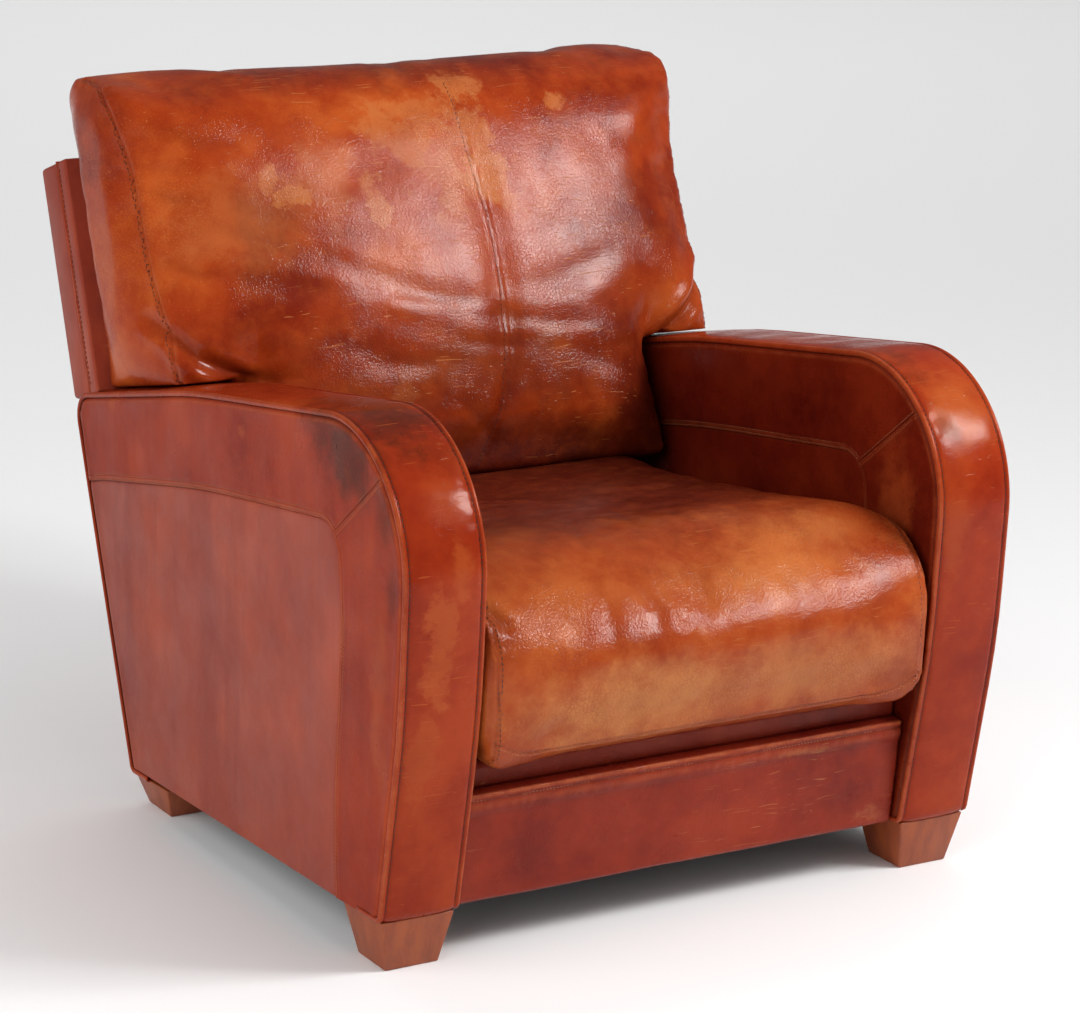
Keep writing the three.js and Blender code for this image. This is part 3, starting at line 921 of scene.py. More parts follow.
FOOT_WOOD = Wood("stained_hardwood", light=(0.31, 0.062, 0.011), dark=(0.22, 0.038, 0.008), rough=0.45)
TIMBER = Wood("sawn_frame_wood", light=(0.62, 0.46, 0.28), dark=(0.45, 0.3, 0.16), rough=0.7,
              along=(4.0, 60.0, 60.0), coat=0.0)
PLYWOOD = Wood("bare_plywood", light=(0.66, 0.5, 0.32), dark=(0.5, 0.35, 0.2), rough=0.7,
               along=(60.0, 5.0, 60.0), coat=0.0)
FOAM = Cloth("upholstery_foam", (0.82, 0.76, 0.52), (0.66, 0.56, 0.34), 500.0, 0.0006)
WEBBING = Cloth("elastic_webbing", (0.2, 0.14, 0.1), (0.1, 0.07, 0.05), 450.0, 0.0004)
BLACK_CLOTH = Cloth("black_lining_cloth", (0.035, 0.034, 0.033), (0.015, 0.015, 0.015), 1100.0, 0.0002)
DARK_THREAD = Cloth("dark_thread", (0.055, 0.02, 0.013), (0.025, 0.01, 0.008), 2500.0, 0.0001, 0.6)
TAN_THREAD = Cloth("tan_thread", (0.44, 0.18, 0.09), (0.30, 0.10, 0.045), 2500.0, 0.0001, 0.6)
HIDDEN_FINISHES: dict[str, Finish] = {
    "body_leather": PANEL_LEATHER, "cushion_leather": SEAT_LEATHER, "foot_wood": FOOT_WOOD, "timber": TIMBER,
    "plywood": PLYWOOD, "foam": FOAM, "webbing": WEBBING, "black_cloth": BLACK_CLOTH, "steel": Steel(),
}


# ---------------------------------------------------------------- sewing
@dataclass
class Stitching:
    """Rows of thread, gathered and then made as one piece."""

    name: str
    finish: Finish
    pitch: float = 0.0065
    fill: float = 0.72
    radius: float = 0.0006
    spots: list = field(default_factory=list)

    def sew(self, line: np.ndarray, outward: np.ndarray) -> None:
        """Adds a row along a line that lies on the surface.

        Args:
            line: points in metres, close together.
            outward: the surface's normal at each point.
        """
        path = Path(line)
        count = max(1, int(path.length / self.pitch))
        centres = (np.arange(count) + 0.5) * path.length / count
        here = path.at(centres)
        ahead = np.minimum(centres + self.pitch / 3, path.length)
        along = path.at(ahead) - path.at(centres - self.pitch / 3)
        index = np.clip(np.searchsorted(path.reach, centres), 0, len(line) - 1)
        for centre, direction, normal in zip(here, along, outward[index]):
            self.spots.append((centre, unit(direction), unit(normal)))

    def make(self) -> bpy.types.Object:
        """Joins the stitches, each a copy of one spindle.

        Returns:
            One object that holds them all.
        """
        deselect_all()
        bpy.ops.mesh.primitive_uv_sphere_add(segments=6, ring_count=4, radius=1)
        pattern = bpy.context.object
        base = read_points(pattern) * np.array([self.radius, self.radius, self.pitch * self.fill / 2])
        faces = [tuple(p.vertices) for p in pattern.data.polygons]
        bpy.data.objects.remove(pattern)
        points, polygons = [], []
        for centre, direction, normal in self.spots:
            side = unit(np.cross(direction, normal))
            turned = base @ np.stack([side, np.cross(side, direction), direction])
            start = len(points) * len(base)
            points.append(turned + centre)
            polygons += [tuple(v + start for v in face) for face in faces]
        mesh = bpy.data.meshes.new(self.name)
        mesh.from_pydata(np.concatenate(points).tolist(), [], polygons)
        obj = bpy.data.objects.new(self.name, mesh)
        bpy.context.scene.collection.objects.link(obj)
        smooth_shade(obj)
        return obj


def graded(length: float, edge: Sequence[float], step: float) -> np.ndarray:
    """Returns fractions from 0 to 1 that are close together at both ends.

    Args:
        length: the real length that 0 to 1 spans, in millimetres.
        edge: distances from each end, in millimetres.
        step: the spacing between them, in millimetres.

    Returns:
        The fractions, from 0 to 1.
    """
    near = np.array([d for d in edge if d < length / 2 - 1])
    middle = np.linspace(near[-1], length - near[-1], max(2, int((length - 2 * near[-1]) / step) + 1))
    return np.concatenate([near, middle[1:-1], (length - near)[::-1]]) / length


# ---------------------------------------------------------------- sewn panels
class Edge(Enum):
    """How a panel's edge is sewn."""

    FOLDED = "folded over its neighbour and stitched twice"
    TUCKED = "tucked under its neighbour"
    DEEP = "tucked deep under a rolled edge"
    PLAIN = "cut flush"

    def rise(self, distance: np.ndarray) -> np.ndarray:
        """Says how far the leather stands off its plane.

        Args:
            distance: from the edge, in mm.

        Returns:
            Heights in mm.
        """
        if self is Edge.FOLDED:
            crest = 1.4 * smooth(distance / 1.4) - 0.5 * bell((distance - 2.9) / 0.9)
            second = -0.45 * bell((distance - 7.6) / 0.9) + 0.3 * bell((distance - 5.2) / 1.6)
            return crest + second - 0.6 * smooth((distance - 9) / 12) - 0.8 * smooth((distance - 18) / 60)
        if self is Edge.TUCKED:
            return -1.7 * np.exp(-distance / 2.2)
        if self is Edge.DEEP:
            return -3.4 * np.exp(-distance / 2.4) + 0.9 * bell((distance - 9) / 7)
        return np.zeros_like(distance)

    def rub(self, distance: np.ndarray) -> np.ndarray:
        """Says how worn the leather is.

        Args:
            distance: from the edge, in mm.

        Returns:
            Shares from 0 to 1.
        """
        if self is Edge.FOLDED:
            return 0.95 * bell((distance - 1.0) / 1.0) + 0.4 * bell((distance - 5.2) / 1.6)
        if self is Edge.DEEP:
            return 0.4 * bell((distance - 6) / 2.2)
        return np.zeros_like(distance)

    def groove(self, distance: np.ndarray) -> np.ndarray:
        """Says how much darker the leather is painted there: grime, and painted shade in the grooves.

        Args:
            distance: from the edge, in mm.

        Returns:
            Shares from 0 to 1.
        """
        if self is Edge.FOLDED:
            return 0.3 * bell((distance - 2.9) / 0.7) + 0.3 * bell((distance - 7.6) / 0.7)
        if self is Edge.TUCKED:
            return 0.9 * bell(distance / 1.1)
        if self is Edge.DEEP:
            return 0.9 * bell(distance / 2.0)
        return np.zeros_like(distance)


@dataclass
class Panel:
    """A piece of leather that fills four lines in the side view; low and high run from start to end."""

    name: str
    low: Path
    high: Path
    start: Path
    end: Path
    edges: tuple[Edge, Edge, Edge, Edge]
    puff: float = 1.2
    step: float = 16.0

    NEAR = (0.0, 0.5, 1.0, 1.5, 2.2, 2.9, 3.6, 4.4, 5.2, 6.2, 6.9, 7.6, 8.3, 9.5, 12.0, 16.0, 22.0, 30.0)

    def spread(self, u: np.ndarray, v: np.ndarray) -> np.ndarray:
        """Places grid fractions on the panel.

        Args:
            u: fractions across.
            v: fractions up.

        Returns:
            Side-view points.
        """
        across = (1 - v)[:, None] * self.low.share(u) + v[:, None] * self.high.share(u)
        up = (1 - u)[:, None] * self.start.share(v) + u[:, None] * self.end.share(v)
        corners = (
            ((1 - u) * (1 - v))[:, None] * self.low.share(0) + (u * (1 - v))[:, None] * self.low.share(1)
            + ((1 - u) * v)[:, None] * self.high.share(0) + (u * v)[:, None] * self.high.share(1)
        )
        return across + up - corners

    def gaps(self, points: np.ndarray) -> list[np.ndarray]:
        """Measures how far points are from the panel's four lines.

        Args:
            points: side-view points.

        Returns:
            Distances in mm, one array for each line.
        """
        found = []
        for line in (self.low, self.high, self.start, self.end):
            samples = line.share(np.linspace(0, 1, 500))
            found.append(np.min(np.linalg.norm(points[:, None] - samples[None], axis=2), axis=1))
        return found

    def make(self, view: SideView, side: float, plane_mm: float, middle: float,
             seed: float) -> bpy.types.Object:
        """Builds the panel as a slab with its outer face off the plane.

        Args:
            view: turns side-view points into the chair's frame.
            side: -1 for the left arm, 1 for the right.
            plane_mm: the panel's plane, measured outwards from the arm's middle.
            middle: the arm's middle, as a distance from the chair's middle in metres.
            seed: picks the unevenness.

        Returns:
            The panel.
        """
        wide = graded(max(self.low.length, self.high.length), self.NEAR, self.step)
        tall = graded(max(self.start.length, self.end.length), self.NEAR, self.step)
        outward = math.copysign(1, plane_mm)
        marks = {}

        def place(u: np.ndarray, v: np.ndarray) -> np.ndarray:
            """Puts a grid vertex on the slightly uneven, puffed-out face.

            Args:
                u: fractions across.
                v: fractions up.

            Returns:
                Points in metres.
            """
            flat = self.spread(u, v)
            gaps = self.gaps(flat)
            off = sum(edge.rise(gap) for edge, gap in zip(self.edges, gaps))
            marks["rub"] = sum(edge.rub(gap) for edge, gap in zip(self.edges, gaps))
            # How dark each vertex is painted: painted shade, with some grime, along tucked edges and stitch
            # dips.
            marks["groove"] = sum(edge.groove(gap) for edge, gap in zip(self.edges, gaps))
            inner = np.min(gaps, axis=0)
            around = np.column_stack([flat, np.full(len(flat), seed)]) * MM
            waves = unevenness(around, 0.07, seed) * 0.9 + unevenness(around, 0.018, seed + 3) * 0.16
            off += self.puff * smooth(inner / 45) + waves * smooth(inner / 16)
            x = side * (middle + (plane_mm + outward * off) * MM)
            return view.place(x, flat)

        obj, _, _ = shaped_grid(self.name, wide, tall, place)
        centre = read_points(obj).mean(axis=0)
        centre[0] = side * middle
        face_away(obj, centre)
        for key, values in marks.items():
            paint(obj, key, np.clip(values, 0, 1))
        apply_modifier(obj, "SOLIDIFY", thickness=0.002, offset=-1)
        smooth_shade(obj)
        return obj


# ---------------------------------------------------------------- arms
ARM_OUTLINE: tuple[Corner, ...] = (
    (60, 64.6, 0), (5, 67, 10), (-40, 308, 1000), (-59, 666, 165), (500, 585, 1500), (862, 505, 35),
    (691, 38, 12), (640, 40, 0),
)
BAND_SEAM: tuple[Corner, ...] = (
    (822, 396, 0), (770, 410, 300), (475, 468, 2000), (112, 515, 42), (102, 400, 600), (110, 280, 900),
    (121, 175, 900), (113, 63.4, 0),
)
UNDERSIDE = 67.6  # the height of an arm's underside at its front, in mm
UNDERSIDE_FALL = 0.042  # how far it falls for each mm towards the rear
FACING_SECTION: tuple[tuple[float, float], ...] = (
    (49.6, -7.0), (51.2, -6.3), (52.2, -5.2), (52.7, -3.8), (52.8, -2.4), (52.5, -1.1), (51.8, 0.0),
    (50.8, 0.7), (49.5, 1.05), (48.2, 0.95), (47.2, 0.45), (46.4, -0.2), (45.6, -0.55), (44.8, -0.2),
    (43.9, 0.4), (42.5, 1.0), (40, 1.5), (36, 1.9), (30, 2.3), (22, 2.6), (12, 2.8), (0, 2.85),
)


class Side(Enum):
    """Which side of the chair a piece is on, seen by a sitter."""

    LEFT = -1
    RIGHT = 1


@dataclass
class Arm:
    """One arm: a facing strip sewn around its outline, three panels on each face, and a lined core."""

    side: Side
    view: SideView
    middle: float = 0.3625
    face_plane: float = 51.0
    edge_inset: float = 5.6
    core_inset: float = 8.0
    core_half: float = 48.6
    mitre_low: tuple[float, float] = (119, 503)
    mitre_high: tuple[float, float] = (11, 586)
    outline: Path = field(default_factory=lambda: filleted(ARM_OUTLINE))
    seam: Path = field(default_factory=lambda: filleted(BAND_SEAM))

    def __post_init__(self) -> None:
        """Works out the arm's name and its inset outline."""
        self.word = self.side.name.lower()
        reach = np.linspace(0, self.outline.length, 3000)
        normals = self.outline.normals(reach)
        self.inner = Path(self.outline.at(reach) - normals * self.edge_inset)

    def facing(self) -> bpy.types.Object:
        """Builds the strip that runs up the front, over the top and down the rear.

        Returns:
            The strip.
        """
        half = np.array(FACING_SECTION)
        section = np.concatenate([half[:-1] * [-1, 1], half[::-1]])
        stations = np.arange(len(section), dtype=float)
        along = np.linspace(0, self.outline.length, int(self.outline.length / 5))
        seed = 4.0 + self.side.value
        crown = self.outline.nearest((-20, 590))

        def place(u: np.ndarray, v: np.ndarray) -> np.ndarray:
            """Puts a grid vertex on the strip, with pulls in the leather where it bends over the front.

            Args:
                u: distances along the outline, in mm.
                v: stations across the section.

            Returns:
                Points in metres.
            """
            x, h = np.interp(v, stations, section[:, 0]), np.interp(v, stations, section[:, 1])
            over = bell((u - crown) / 190)
            around = np.column_stack([x, u, np.full(len(u), seed)]) * MM
            pull = np.clip(unevenness(around * [0.2, 1, 1], 0.011, seed) + 0.15, 0, 1)
            h = h - over * pull * 1.6 * bell((np.abs(x) - 41) / 6.5)
            h = h - 0.35 * pull * bell((np.abs(x) - 43) / 3)
            h = h + unevenness(around, 0.05, seed + 9) * 0.6 * smooth((46 - np.abs(x)) / 20)
            h = h - 1.6 * over * bell((u - crown) / 14) * bell((x * self.side.value + 33) / 9)
            h = h + unevenness(around, 0.016, seed + 5) * 0.22 * smooth((45 - np.abs(x)) / 6)
            flat = self.outline.at(u) + self.outline.normals(u) * h[:, None]
            return self.view.place(self.side.value * (self.middle + x * MM), flat)

        obj, u, v = shaped_grid(f"{self.word}_arm_facing", along, stations, place)
        x = np.abs(np.interp(v, stations, section[:, 0]))
        h = np.interp(v, stations, section[:, 1])
        front = smooth((self.outline.nearest((300, 620)) - u) / 500)
        ridge = bell((x - 51.2) / 1.8) * smooth((h + 6) / 3)
        paint(obj, "rub", np.clip((0.45 + 0.35 * front) * ridge, 0, 1))
        # Painted shade, with some grime, in the stitch dips and where the strip turns down under its ridge.
        paint(obj, "groove", np.clip(0.45 * bell((x - 45.6) / 0.8) + smooth((-h - 4.8) / 2), 0, 1))
        inside = self.view.place(np.array([self.side.value * self.middle]), np.array([[380, 300]]))[0]
        face_away(obj, inside)
        apply_modifier(obj, "SOLIDIFY", thickness=0.0015, offset=-1)
        smooth_shade(obj)
        return seated(obj, "body_leather", ARM_LEATHER, f"{self.word}_arm_cover")

    def panels(self, face: str, plane: float) -> None:
        """Builds the band and the lower panel on one face of the arm.

        Args:
            face: "outer" or "inner".
            plane: where the face lies, in mm outwards from the arm's middle.
        """
        seam, inner = self.seam, self.inner
        turn = seam.nearest(self.mitre_low)
        top = inner.nearest(self.mitre_high)
        rear_top = inner.nearest((852, 498))
        rear_seam = inner.nearest(seam.at(0))
        front_foot = inner.nearest((11, 71))
        rear_foot = inner.nearest((688, 45))
        low_corner, toe, heel = seam.at(seam.length), inner.at(front_foot), inner.at(rear_foot)
        toe = np.array([toe[0], UNDERSIDE - UNDERSIDE_FALL * toe[0]])
        heel = np.array([heel[0], UNDERSIDE - UNDERSIDE_FALL * heel[0]])
        mitre = Path(np.linspace(seam.at(turn), inner.at(top), 50))
        seam_rear = seam.part(0, turn)
        seam_front = seam.part(turn, seam.length)
        deep, folded, tucked, plain = Edge.DEEP, Edge.FOLDED, Edge.TUCKED, Edge.PLAIN
        name = f"{self.word}_arm_{face}"
        built = (
            (Panel(f"{name}_top_band", seam_rear, inner.part(rear_top, top), inner.part(rear_seam, rear_top),
                   mitre, (folded, deep, deep, tucked)), BAND_LEATHER),
            (Panel(f"{name}_front_band", seam_front, inner.part(top, front_foot), mitre,
                   Path(np.linspace(low_corner, toe, 50)), (folded, deep, folded, plain)), BAND_LEATHER),
            (Panel(f"{name}_lower_panel", Path(np.linspace(heel, low_corner, 50)), seam_rear,
                   inner.part(rear_foot, rear_seam), seam.part(seam.length, turn),
                   (plain, tucked, deep, tucked), puff=0.8), SIDE_LEATHER),
        )
        for index, (panel, finish) in enumerate(built):
            seed = 11.0 * index + plane + self.side.value
            obj = panel.make(self.view, self.side.value, plane, self.middle, seed)
            # Inner faces take the darker copy: painted shade.
            seated(obj, "body_leather", SHADED_INNER_LEATHER if face == "inner" else finish)

    def core(self) -> bpy.types.Object:
        """Builds the lined body of the arm, which closes its underside between the panels.

        Returns:
            The body.
        """
        reach = np.linspace(self.outline.nearest((6, 70)), self.outline.nearest((686, 42)), 120)
        line = self.outline.at(reach) - self.outline.normals(reach) * self.core_inset
        under = UNDERSIDE + 0.6 - UNDERSIDE_FALL * line[:, 0]
        line[:, 1] = np.maximum(line[:, 1], under)
        points = self.view.place(np.zeros(len(line)), line)[:, 1:]
        edges = sorted(self.side.value * (self.middle + s * self.core_half * MM) for s in (-1, 1))
        obj = prism(f"{self.word}_arm_padding", points, *edges)
        padding = [f"{self.word}_arm_{layer}" for layer in ("outer_wadding", "inner_wadding", "band_foam")]
        return seated(obj, "black_cloth", BLACK_CLOTH, *padding)

    def sew(self, dark: Stitching, tan: Stitching) -> None:
        """Adds the arm's rows of stitches.

        Args:
            dark: the dark thread.
            tan: the tan thread.
        """
        reach = np.linspace(self.outline.nearest((8, 80)), self.outline.nearest((700, 60)), 500)
        normals = self.outline.normals(reach)
        row = self.outline.at(reach) + normals * -0.35
        away = np.column_stack([np.zeros(len(normals)), normals])
        for edge in (-45.6, 45.6):
            x = np.full(len(reach), self.side.value * (self.middle + edge * MM))
            dark.sew(self.view.place(x, row), away)
        turn = self.seam.nearest(self.mitre_low)
        mitre_top = self.inner.at(self.inner.nearest(self.mitre_high))
        mitre = Path(np.linspace(self.seam.at(turn), mitre_top, 40))
        for face in (-1, 1):
            x = self.side.value * (self.middle + face * (self.face_plane + 1.0) * MM)
            outward = np.tile([self.side.value * face, 0.0, 0.0], (400, 1))
            for start, end in ((12, turn - 4), (turn + 4, self.seam.length - 4)):
                for gap in (2.9, 7.6):
                    way = np.linspace(start, end, 400)
                    line = self.seam.at(way) - self.seam.normals(way) * gap
                    tan.sew(self.view.place(np.full(400, x), line), outward)
            for gap in (-3.4, 3.4):
                way = np.linspace(8, mitre.length - 6, 400)
                line = mitre.at(way) + mitre.normals(way) * gap
                tan.sew(self.view.place(np.full(400, x), line), outward)

    def build(self, dark: Stitching, tan: Stitching) -> None:
        """Builds and sews the whole arm.

        Args:
            dark: the dark thread.
            tan: the tan thread.
        """
        self.facing()
        self.panels("outer", self.face_plane)
        self.panels("inner", -self.face_plane)
        self.core()
        self.sew(dark, tan)


# ---------------------------------------------------------------- front panel
PANEL_OUTLINE: tuple[Corner, ...] = ((52, 64.8, 0), (18, 66, 7), (2, 203, 4.5), (26, 207, 0))
LIP_OUTLINE: tuple[Corner, ...] = ((40, 200, 0), (23, 203, 3), (21, 234, 8), (60, 238, 0))
TOP_ROWS = (  # distances below the panel's top edge, closest together where it is folded, in mm
    60, 50, 42, 36, 31, 27, 24.5, 23, 22, 21, 20, 19, 17.5, 16, 14.5, 13, 11.5, 10, 9, 8,
    7.2, 6.5, 5.8, 5, 4, 3, 2, 1, 0, -1, -2, -3, -4.5, -6, -8, -12, -18,
)


@dataclass
class FrontPanel:
    """The low front between the arms: a panel gathered under its folded top edge, and a lip above."""

    view: SideView
    half_width: float = 0.3085
    outline: Path = field(default_factory=lambda: filleted(PANEL_OUTLINE))
    lip: Path = field(default_factory=lambda: filleted(LIP_OUTLINE))
    stitch_row: float = 6.5
    band_depth: float = 21.0

    def sheet(self, name: str, path: Path, rises: Callable, reach: np.ndarray, seed: float) -> tuple:
        """Builds a wide sheet that follows a side-view line and rolls in at both ends.

        Args:
            name: the piece's name.
            path: the line, in side-view millimetres.
            rises: gives the height off the line, in mm, from x in metres and distance along the line.
            reach: distances along the line for the rows.
            seed: picks the unevenness.

        Returns:
            The sheet, and x and the distance along the line of each vertex.
        """
        across = graded(2000 * self.half_width, (0, 1, 2, 3, 4, 5, 6, 8, 11), 4.0)

        def place(u: np.ndarray, v: np.ndarray) -> np.ndarray:
            """Puts a grid vertex on the sheet, whose last 6 mm at each end turn in.

            Args:
                u: fractions across.
                v: distances along the line, in mm.

            Returns:
                Points in metres.
            """
            x = (u * 2 - 1) * self.half_width
            h = rises(x, v)
            turned = np.clip((np.abs(x) - self.half_width + 0.006) / 0.006, 0, 1)
            h = h - 6 * (1 - np.sqrt(np.clip(1 - turned ** 2, 0, 1)))
            around = np.column_stack([x, v * MM, np.full(len(x), seed)])
            h = h + unevenness(around, 0.09, seed) * 0.9 + unevenness(around, 0.02, seed + 2) * 0.15
            return self.view.place(x, path.at(v) + path.normals(v, 1.5) * h[:, None])

        obj, u, v = shaped_grid(name, across, reach, place)
        face_away(obj, self.view.place(np.zeros(1), np.array([[120.0, 150.0]]))[0])
        return obj, (u * 2 - 1) * self.half_width, v

    def build(self, tan: Stitching) -> None:
        """Builds the panel with its gathered top and the lip, and adds their stitches.

        Args:
            tan: the tan thread.
        """
        top = self.outline.nearest((2.5, 201.5))

        def folds(x: np.ndarray, v: np.ndarray) -> np.ndarray:
            """Shapes the folded edge, the stitched groove and the gathered roll below it.

            Args:
                x: in metres.
                v: distances along the outline, in mm.

            Returns:
                Heights in mm.
            """
            down = top - v
            around = np.column_stack([x, np.full(len(x), 0.3), down * MM * 0.35])
            gather = unevenness(around, 0.006, 3.0) * 1.2 + unevenness(around, 0.015, 8.0) * 0.9
            h = 1.4 * bell(down / 2.8) - 0.9 * bell((down - self.stitch_row) / 1.2)
            h = h + 2.4 * bell((down - 15) / 8) - 0.7 * bell((down - self.band_depth - 7) / 6)
            return h + gather * bell((down - 14) / 8) + 0.9 * smooth((down - 30) / 30)

        near = top - np.array(TOP_ROWS)
        low = np.concatenate([
            np.linspace(0, 26, 8), np.linspace(28, 48, 12), np.linspace(52, near[0] - 6, 8),
        ])
        obj, x, v = self.sheet("front_panel", self.outline, folds, np.concatenate([low, near]), 21.0)
        down = top - v
        # Worn colour along the folded top edge, and a painted highlight on the gathered roll below it.
        paint(obj, "rub", np.clip(0.95 * bell((down - 0.5) / 2.2) + 0.3 * bell((down - 13) / 5), 0, 1))
        # Painted shade: the ends, which turn in beside the arms, and the stitched groove are darkened.
        side = smooth((np.abs(x) - self.half_width + 0.005) / 0.005)
        seams = 0.6 * bell((down - self.stitch_row) / 1.0)
        paint(obj, "groove", np.clip(seams + side, 0, 1))
        apply_modifier(obj, "SOLIDIFY", thickness=0.002, offset=-1)
        smooth_shade(obj)
        seated(obj, "body_leather", PANEL_LEATHER, "front_panel_cover")

        rows = np.concatenate([np.linspace(0, 16, 6), np.linspace(18, self.lip.length - 26, 12),
                               np.linspace(self.lip.length - 24, self.lip.length, 9)])
        obj, x, v = self.sheet("seat_lip", self.lip, lambda x, v: 1.2 + 0 * v, rows, 33.0)
        # The whole lip is darkened a little: painted shade for the shadowed recess under the seat cushion.
        paint(obj, "groove", np.full(len(x), 0.1))
        apply_modifier(obj, "SOLIDIFY", thickness=0.002, offset=-1)
        smooth_shade(obj)
        seated(obj, "body_leather", PANEL_LEATHER, "seat_deck_lip")

        x = np.linspace(-self.half_width + 0.008, self.half_width - 0.008, 300)
        row = np.full(len(x), top - self.stitch_row)
        line = self.outline.at(row) + self.outline.normals(row, 1.5) * -0.5
        away = np.column_stack([np.zeros(len(x)), self.outline.normals(row, 1.5)])
        tan.sew(self.view.place(x, line), away)


# ---------------------------------------------------------------- back frame
@dataclass
class BackFrame:
    """The leaning back behind its cushion: a front strip, a padded shell, a welt, two outside panels."""

    view: SideView
    foot: tuple[float, float] = (620.0, 52.0)
    rake: float = math.radians(19)
    depth: float = 82.0
    strip: float = 26.0
    low: float = 14.0
    shoulder: float = 498.0
    high: float = 803.0
    half_low: float = 308.0
    half_high: float = 415.0
    welt_radius: float = 3.2

    def lean(self, x: np.ndarray, back: np.ndarray, up: np.ndarray) -> np.ndarray:
        """Places points that are measured along the leaning back.

        Args:
            x: in metres.
            back: depth in mm.
            up: height in mm.

        Returns:
            Points in metres.
        """
        y = self.foot[0] + back * math.cos(self.rake) + up * math.sin(self.rake)
        z = self.foot[1] - back * math.sin(self.rake) + up * math.cos(self.rake)
        return self.view.place(np.asarray(x) * MM, np.column_stack([y, z]))

    def outline(self, inset: float = 0.0) -> np.ndarray:
        """Draws the back's tee shape.

        Args:
            inset: how far it is drawn in, in mm.

        Returns:
            (x, up) corners.
        """
        wide, narrow = self.half_high - inset, self.half_low - inset
        top, wing, foot = self.high - inset, self.shoulder + inset, self.low + inset
        right = [(narrow, foot), (narrow, wing), (wide, wing), (wide, top)]
        return np.array(right + [(-x, z) for x, z in reversed(right)], float)

    def slab(self, name: str, front: float, rear: float, bevel: float, inset: float) -> bpy.types.Object:
        """Builds a tee-shaped slab between two depths, with rounded edges.

        Args:
            name: the object's name.
            front: its front depth, in mm.
            rear: its rear depth, in mm.
            bevel: the radius of its edges, in mm.
            inset: how far it is drawn in, in mm.

        Returns:
            The slab.
        """
        corners = self.outline(inset)
        obj = prism(name, corners, front, rear)
        make_active(obj)
        bpy.ops.object.mode_set(mode="EDIT")
        bpy.ops.mesh.select_all(action="SELECT")
        bpy.ops.mesh.bevel(offset=bevel, segments=4, affect="EDGES")
        bpy.ops.mesh.normals_make_consistent(inside=False)
        bpy.ops.object.mode_set(mode="OBJECT")
        points = read_points(obj)
        write_points(obj, self.lean(points[:, 1], points[:, 0], points[:, 2]))
        make_active(obj)
        bpy.ops.object.mode_set(mode="EDIT")
        bpy.ops.mesh.select_all(action="SELECT")
        bpy.ops.mesh.normals_make_consistent(inside=False)
        bpy.ops.object.mode_set(mode="OBJECT")
        make_active(obj)
        bpy.ops.object.shade_smooth_by_angle(angle=math.radians(50))
        return obj

    def outside_panel(self, name: str, half: float, low: float, high: float,
                      seed: float) -> bpy.types.Object:
        """Builds one padded sheet on the rear face.

        Args:
            name: the object's name.
            half: its half width, in mm.
            low: its lower edge, in mm.
            high: its upper edge, in mm.
            seed: picks the unevenness.

        Returns:
            The sheet.
        """
        near = (0.0, 1.0, 2.0, 3.0, 4.0, 6.0, 8.0, 9.5, 11.0, 13.0, 18.0, 26.0)
        wide, tall = graded(2 * half, near, 14.0), graded(high - low, near, 14.0)
        marks = {}

        def place(u: np.ndarray, v: np.ndarray) -> np.ndarray:
            """Puts a grid vertex on the padded sheet.

            Args:
                u: fractions across.
                v: fractions up.

            Returns:
                Points in metres.
            """
            x, up = (u * 2 - 1) * half, low + v * (high - low)
            gap = np.minimum(half - np.abs(x), np.minimum(up - low, high - up))
            waves = unevenness(np.column_stack([x, up, np.zeros(len(x))]) * MM, 0.13, seed)
            edge = -2.4 * np.exp(-gap / 2.5) - 0.6 * bell((gap - 8) / 1.0)
            off = 3.0 * smooth(gap / 70) + edge + waves * smooth(gap / 40)
            # Painted shade, with some grime, along the tucked edges.
            marks["groove"] = bell(gap / 2) * 0.8
            marks["rub"] = bell((gap - 4.5) / 2) * 0.3
            return self.lean(x, self.depth + 0.8 + off, up)

        obj, _, _ = shaped_grid(name, wide, tall, place)
        for key, values in marks.items():
            paint(obj, key, values)
        face_away(obj, self.lean(np.zeros(1), np.array([0.0]), np.array([400.0]))[0])
        apply_modifier(obj, "SOLIDIFY", thickness=0.002, offset=-1)
        smooth_shade(obj)
        return seated(obj, "body_leather", SIDE_LEATHER)

    def welt(self) -> bpy.types.Object:
        """Builds the piped cord between the front strip and the shell.

        Returns:
            The welt.
        """
        corners = self.outline(2.0)
        curve = bpy.data.curves.new("back_welt", "CURVE")
        curve.dimensions = "3D"
        curve.bevel_depth = self.welt_radius * MM
        curve.bevel_resolution = 2
        spline = curve.splines.new("POLY")
        spline.use_cyclic_u = True
        line = self.lean(corners[:, 0], np.full(len(corners), self.strip + 1), corners[:, 1])
        spline.points.add(len(line) - 1)
        for point, place in zip(spline.points, line):
            point.co = (*place, 1.0)
        obj = bpy.data.objects.new("back_welt", curve)
        bpy.context.scene.collection.objects.link(obj)
        make_active(obj)
        bpy.ops.object.convert(target="MESH")
        obj = bpy.context.object
        paint(obj, "rub", np.full(len(obj.data.vertices), 0.35))
        smooth_shade(obj)
        return seated(obj, "body_leather", ARM_LEATHER)

    def build(self, dark: Stitching) -> None:
        """Builds the whole back frame and its stitches.

        Args:
            dark: the dark thread.
        """
        strip = self.slab("back_front_strip", 0.4, self.strip, 4.0, 0.5)
        seated(strip, "body_leather", SIDE_LEATHER, "back_cover")
        seated(self.slab("back_shell", self.strip + 2, self.depth, 6.0, 0.5), "body_leather", SIDE_LEATHER)
        self.welt()
        self.outside_panel("outside_back_upper", self.half_high - 12, self.shoulder + 6, self.high - 12, 5.0)
        self.outside_panel("outside_back_lower", self.half_low - 6, self.low + 8, self.shoulder + 4, 9.0)
        for sign in (-1, 1):
            up = np.linspace(self.shoulder + 12, self.high - 10, 60)
            line = self.lean(np.full(60, sign * (self.half_high - 0.3)), np.full(60, self.strip - 5.5), up)
            dark.sew(line, np.tile([sign, 0.0, 0.0], (60, 1)))


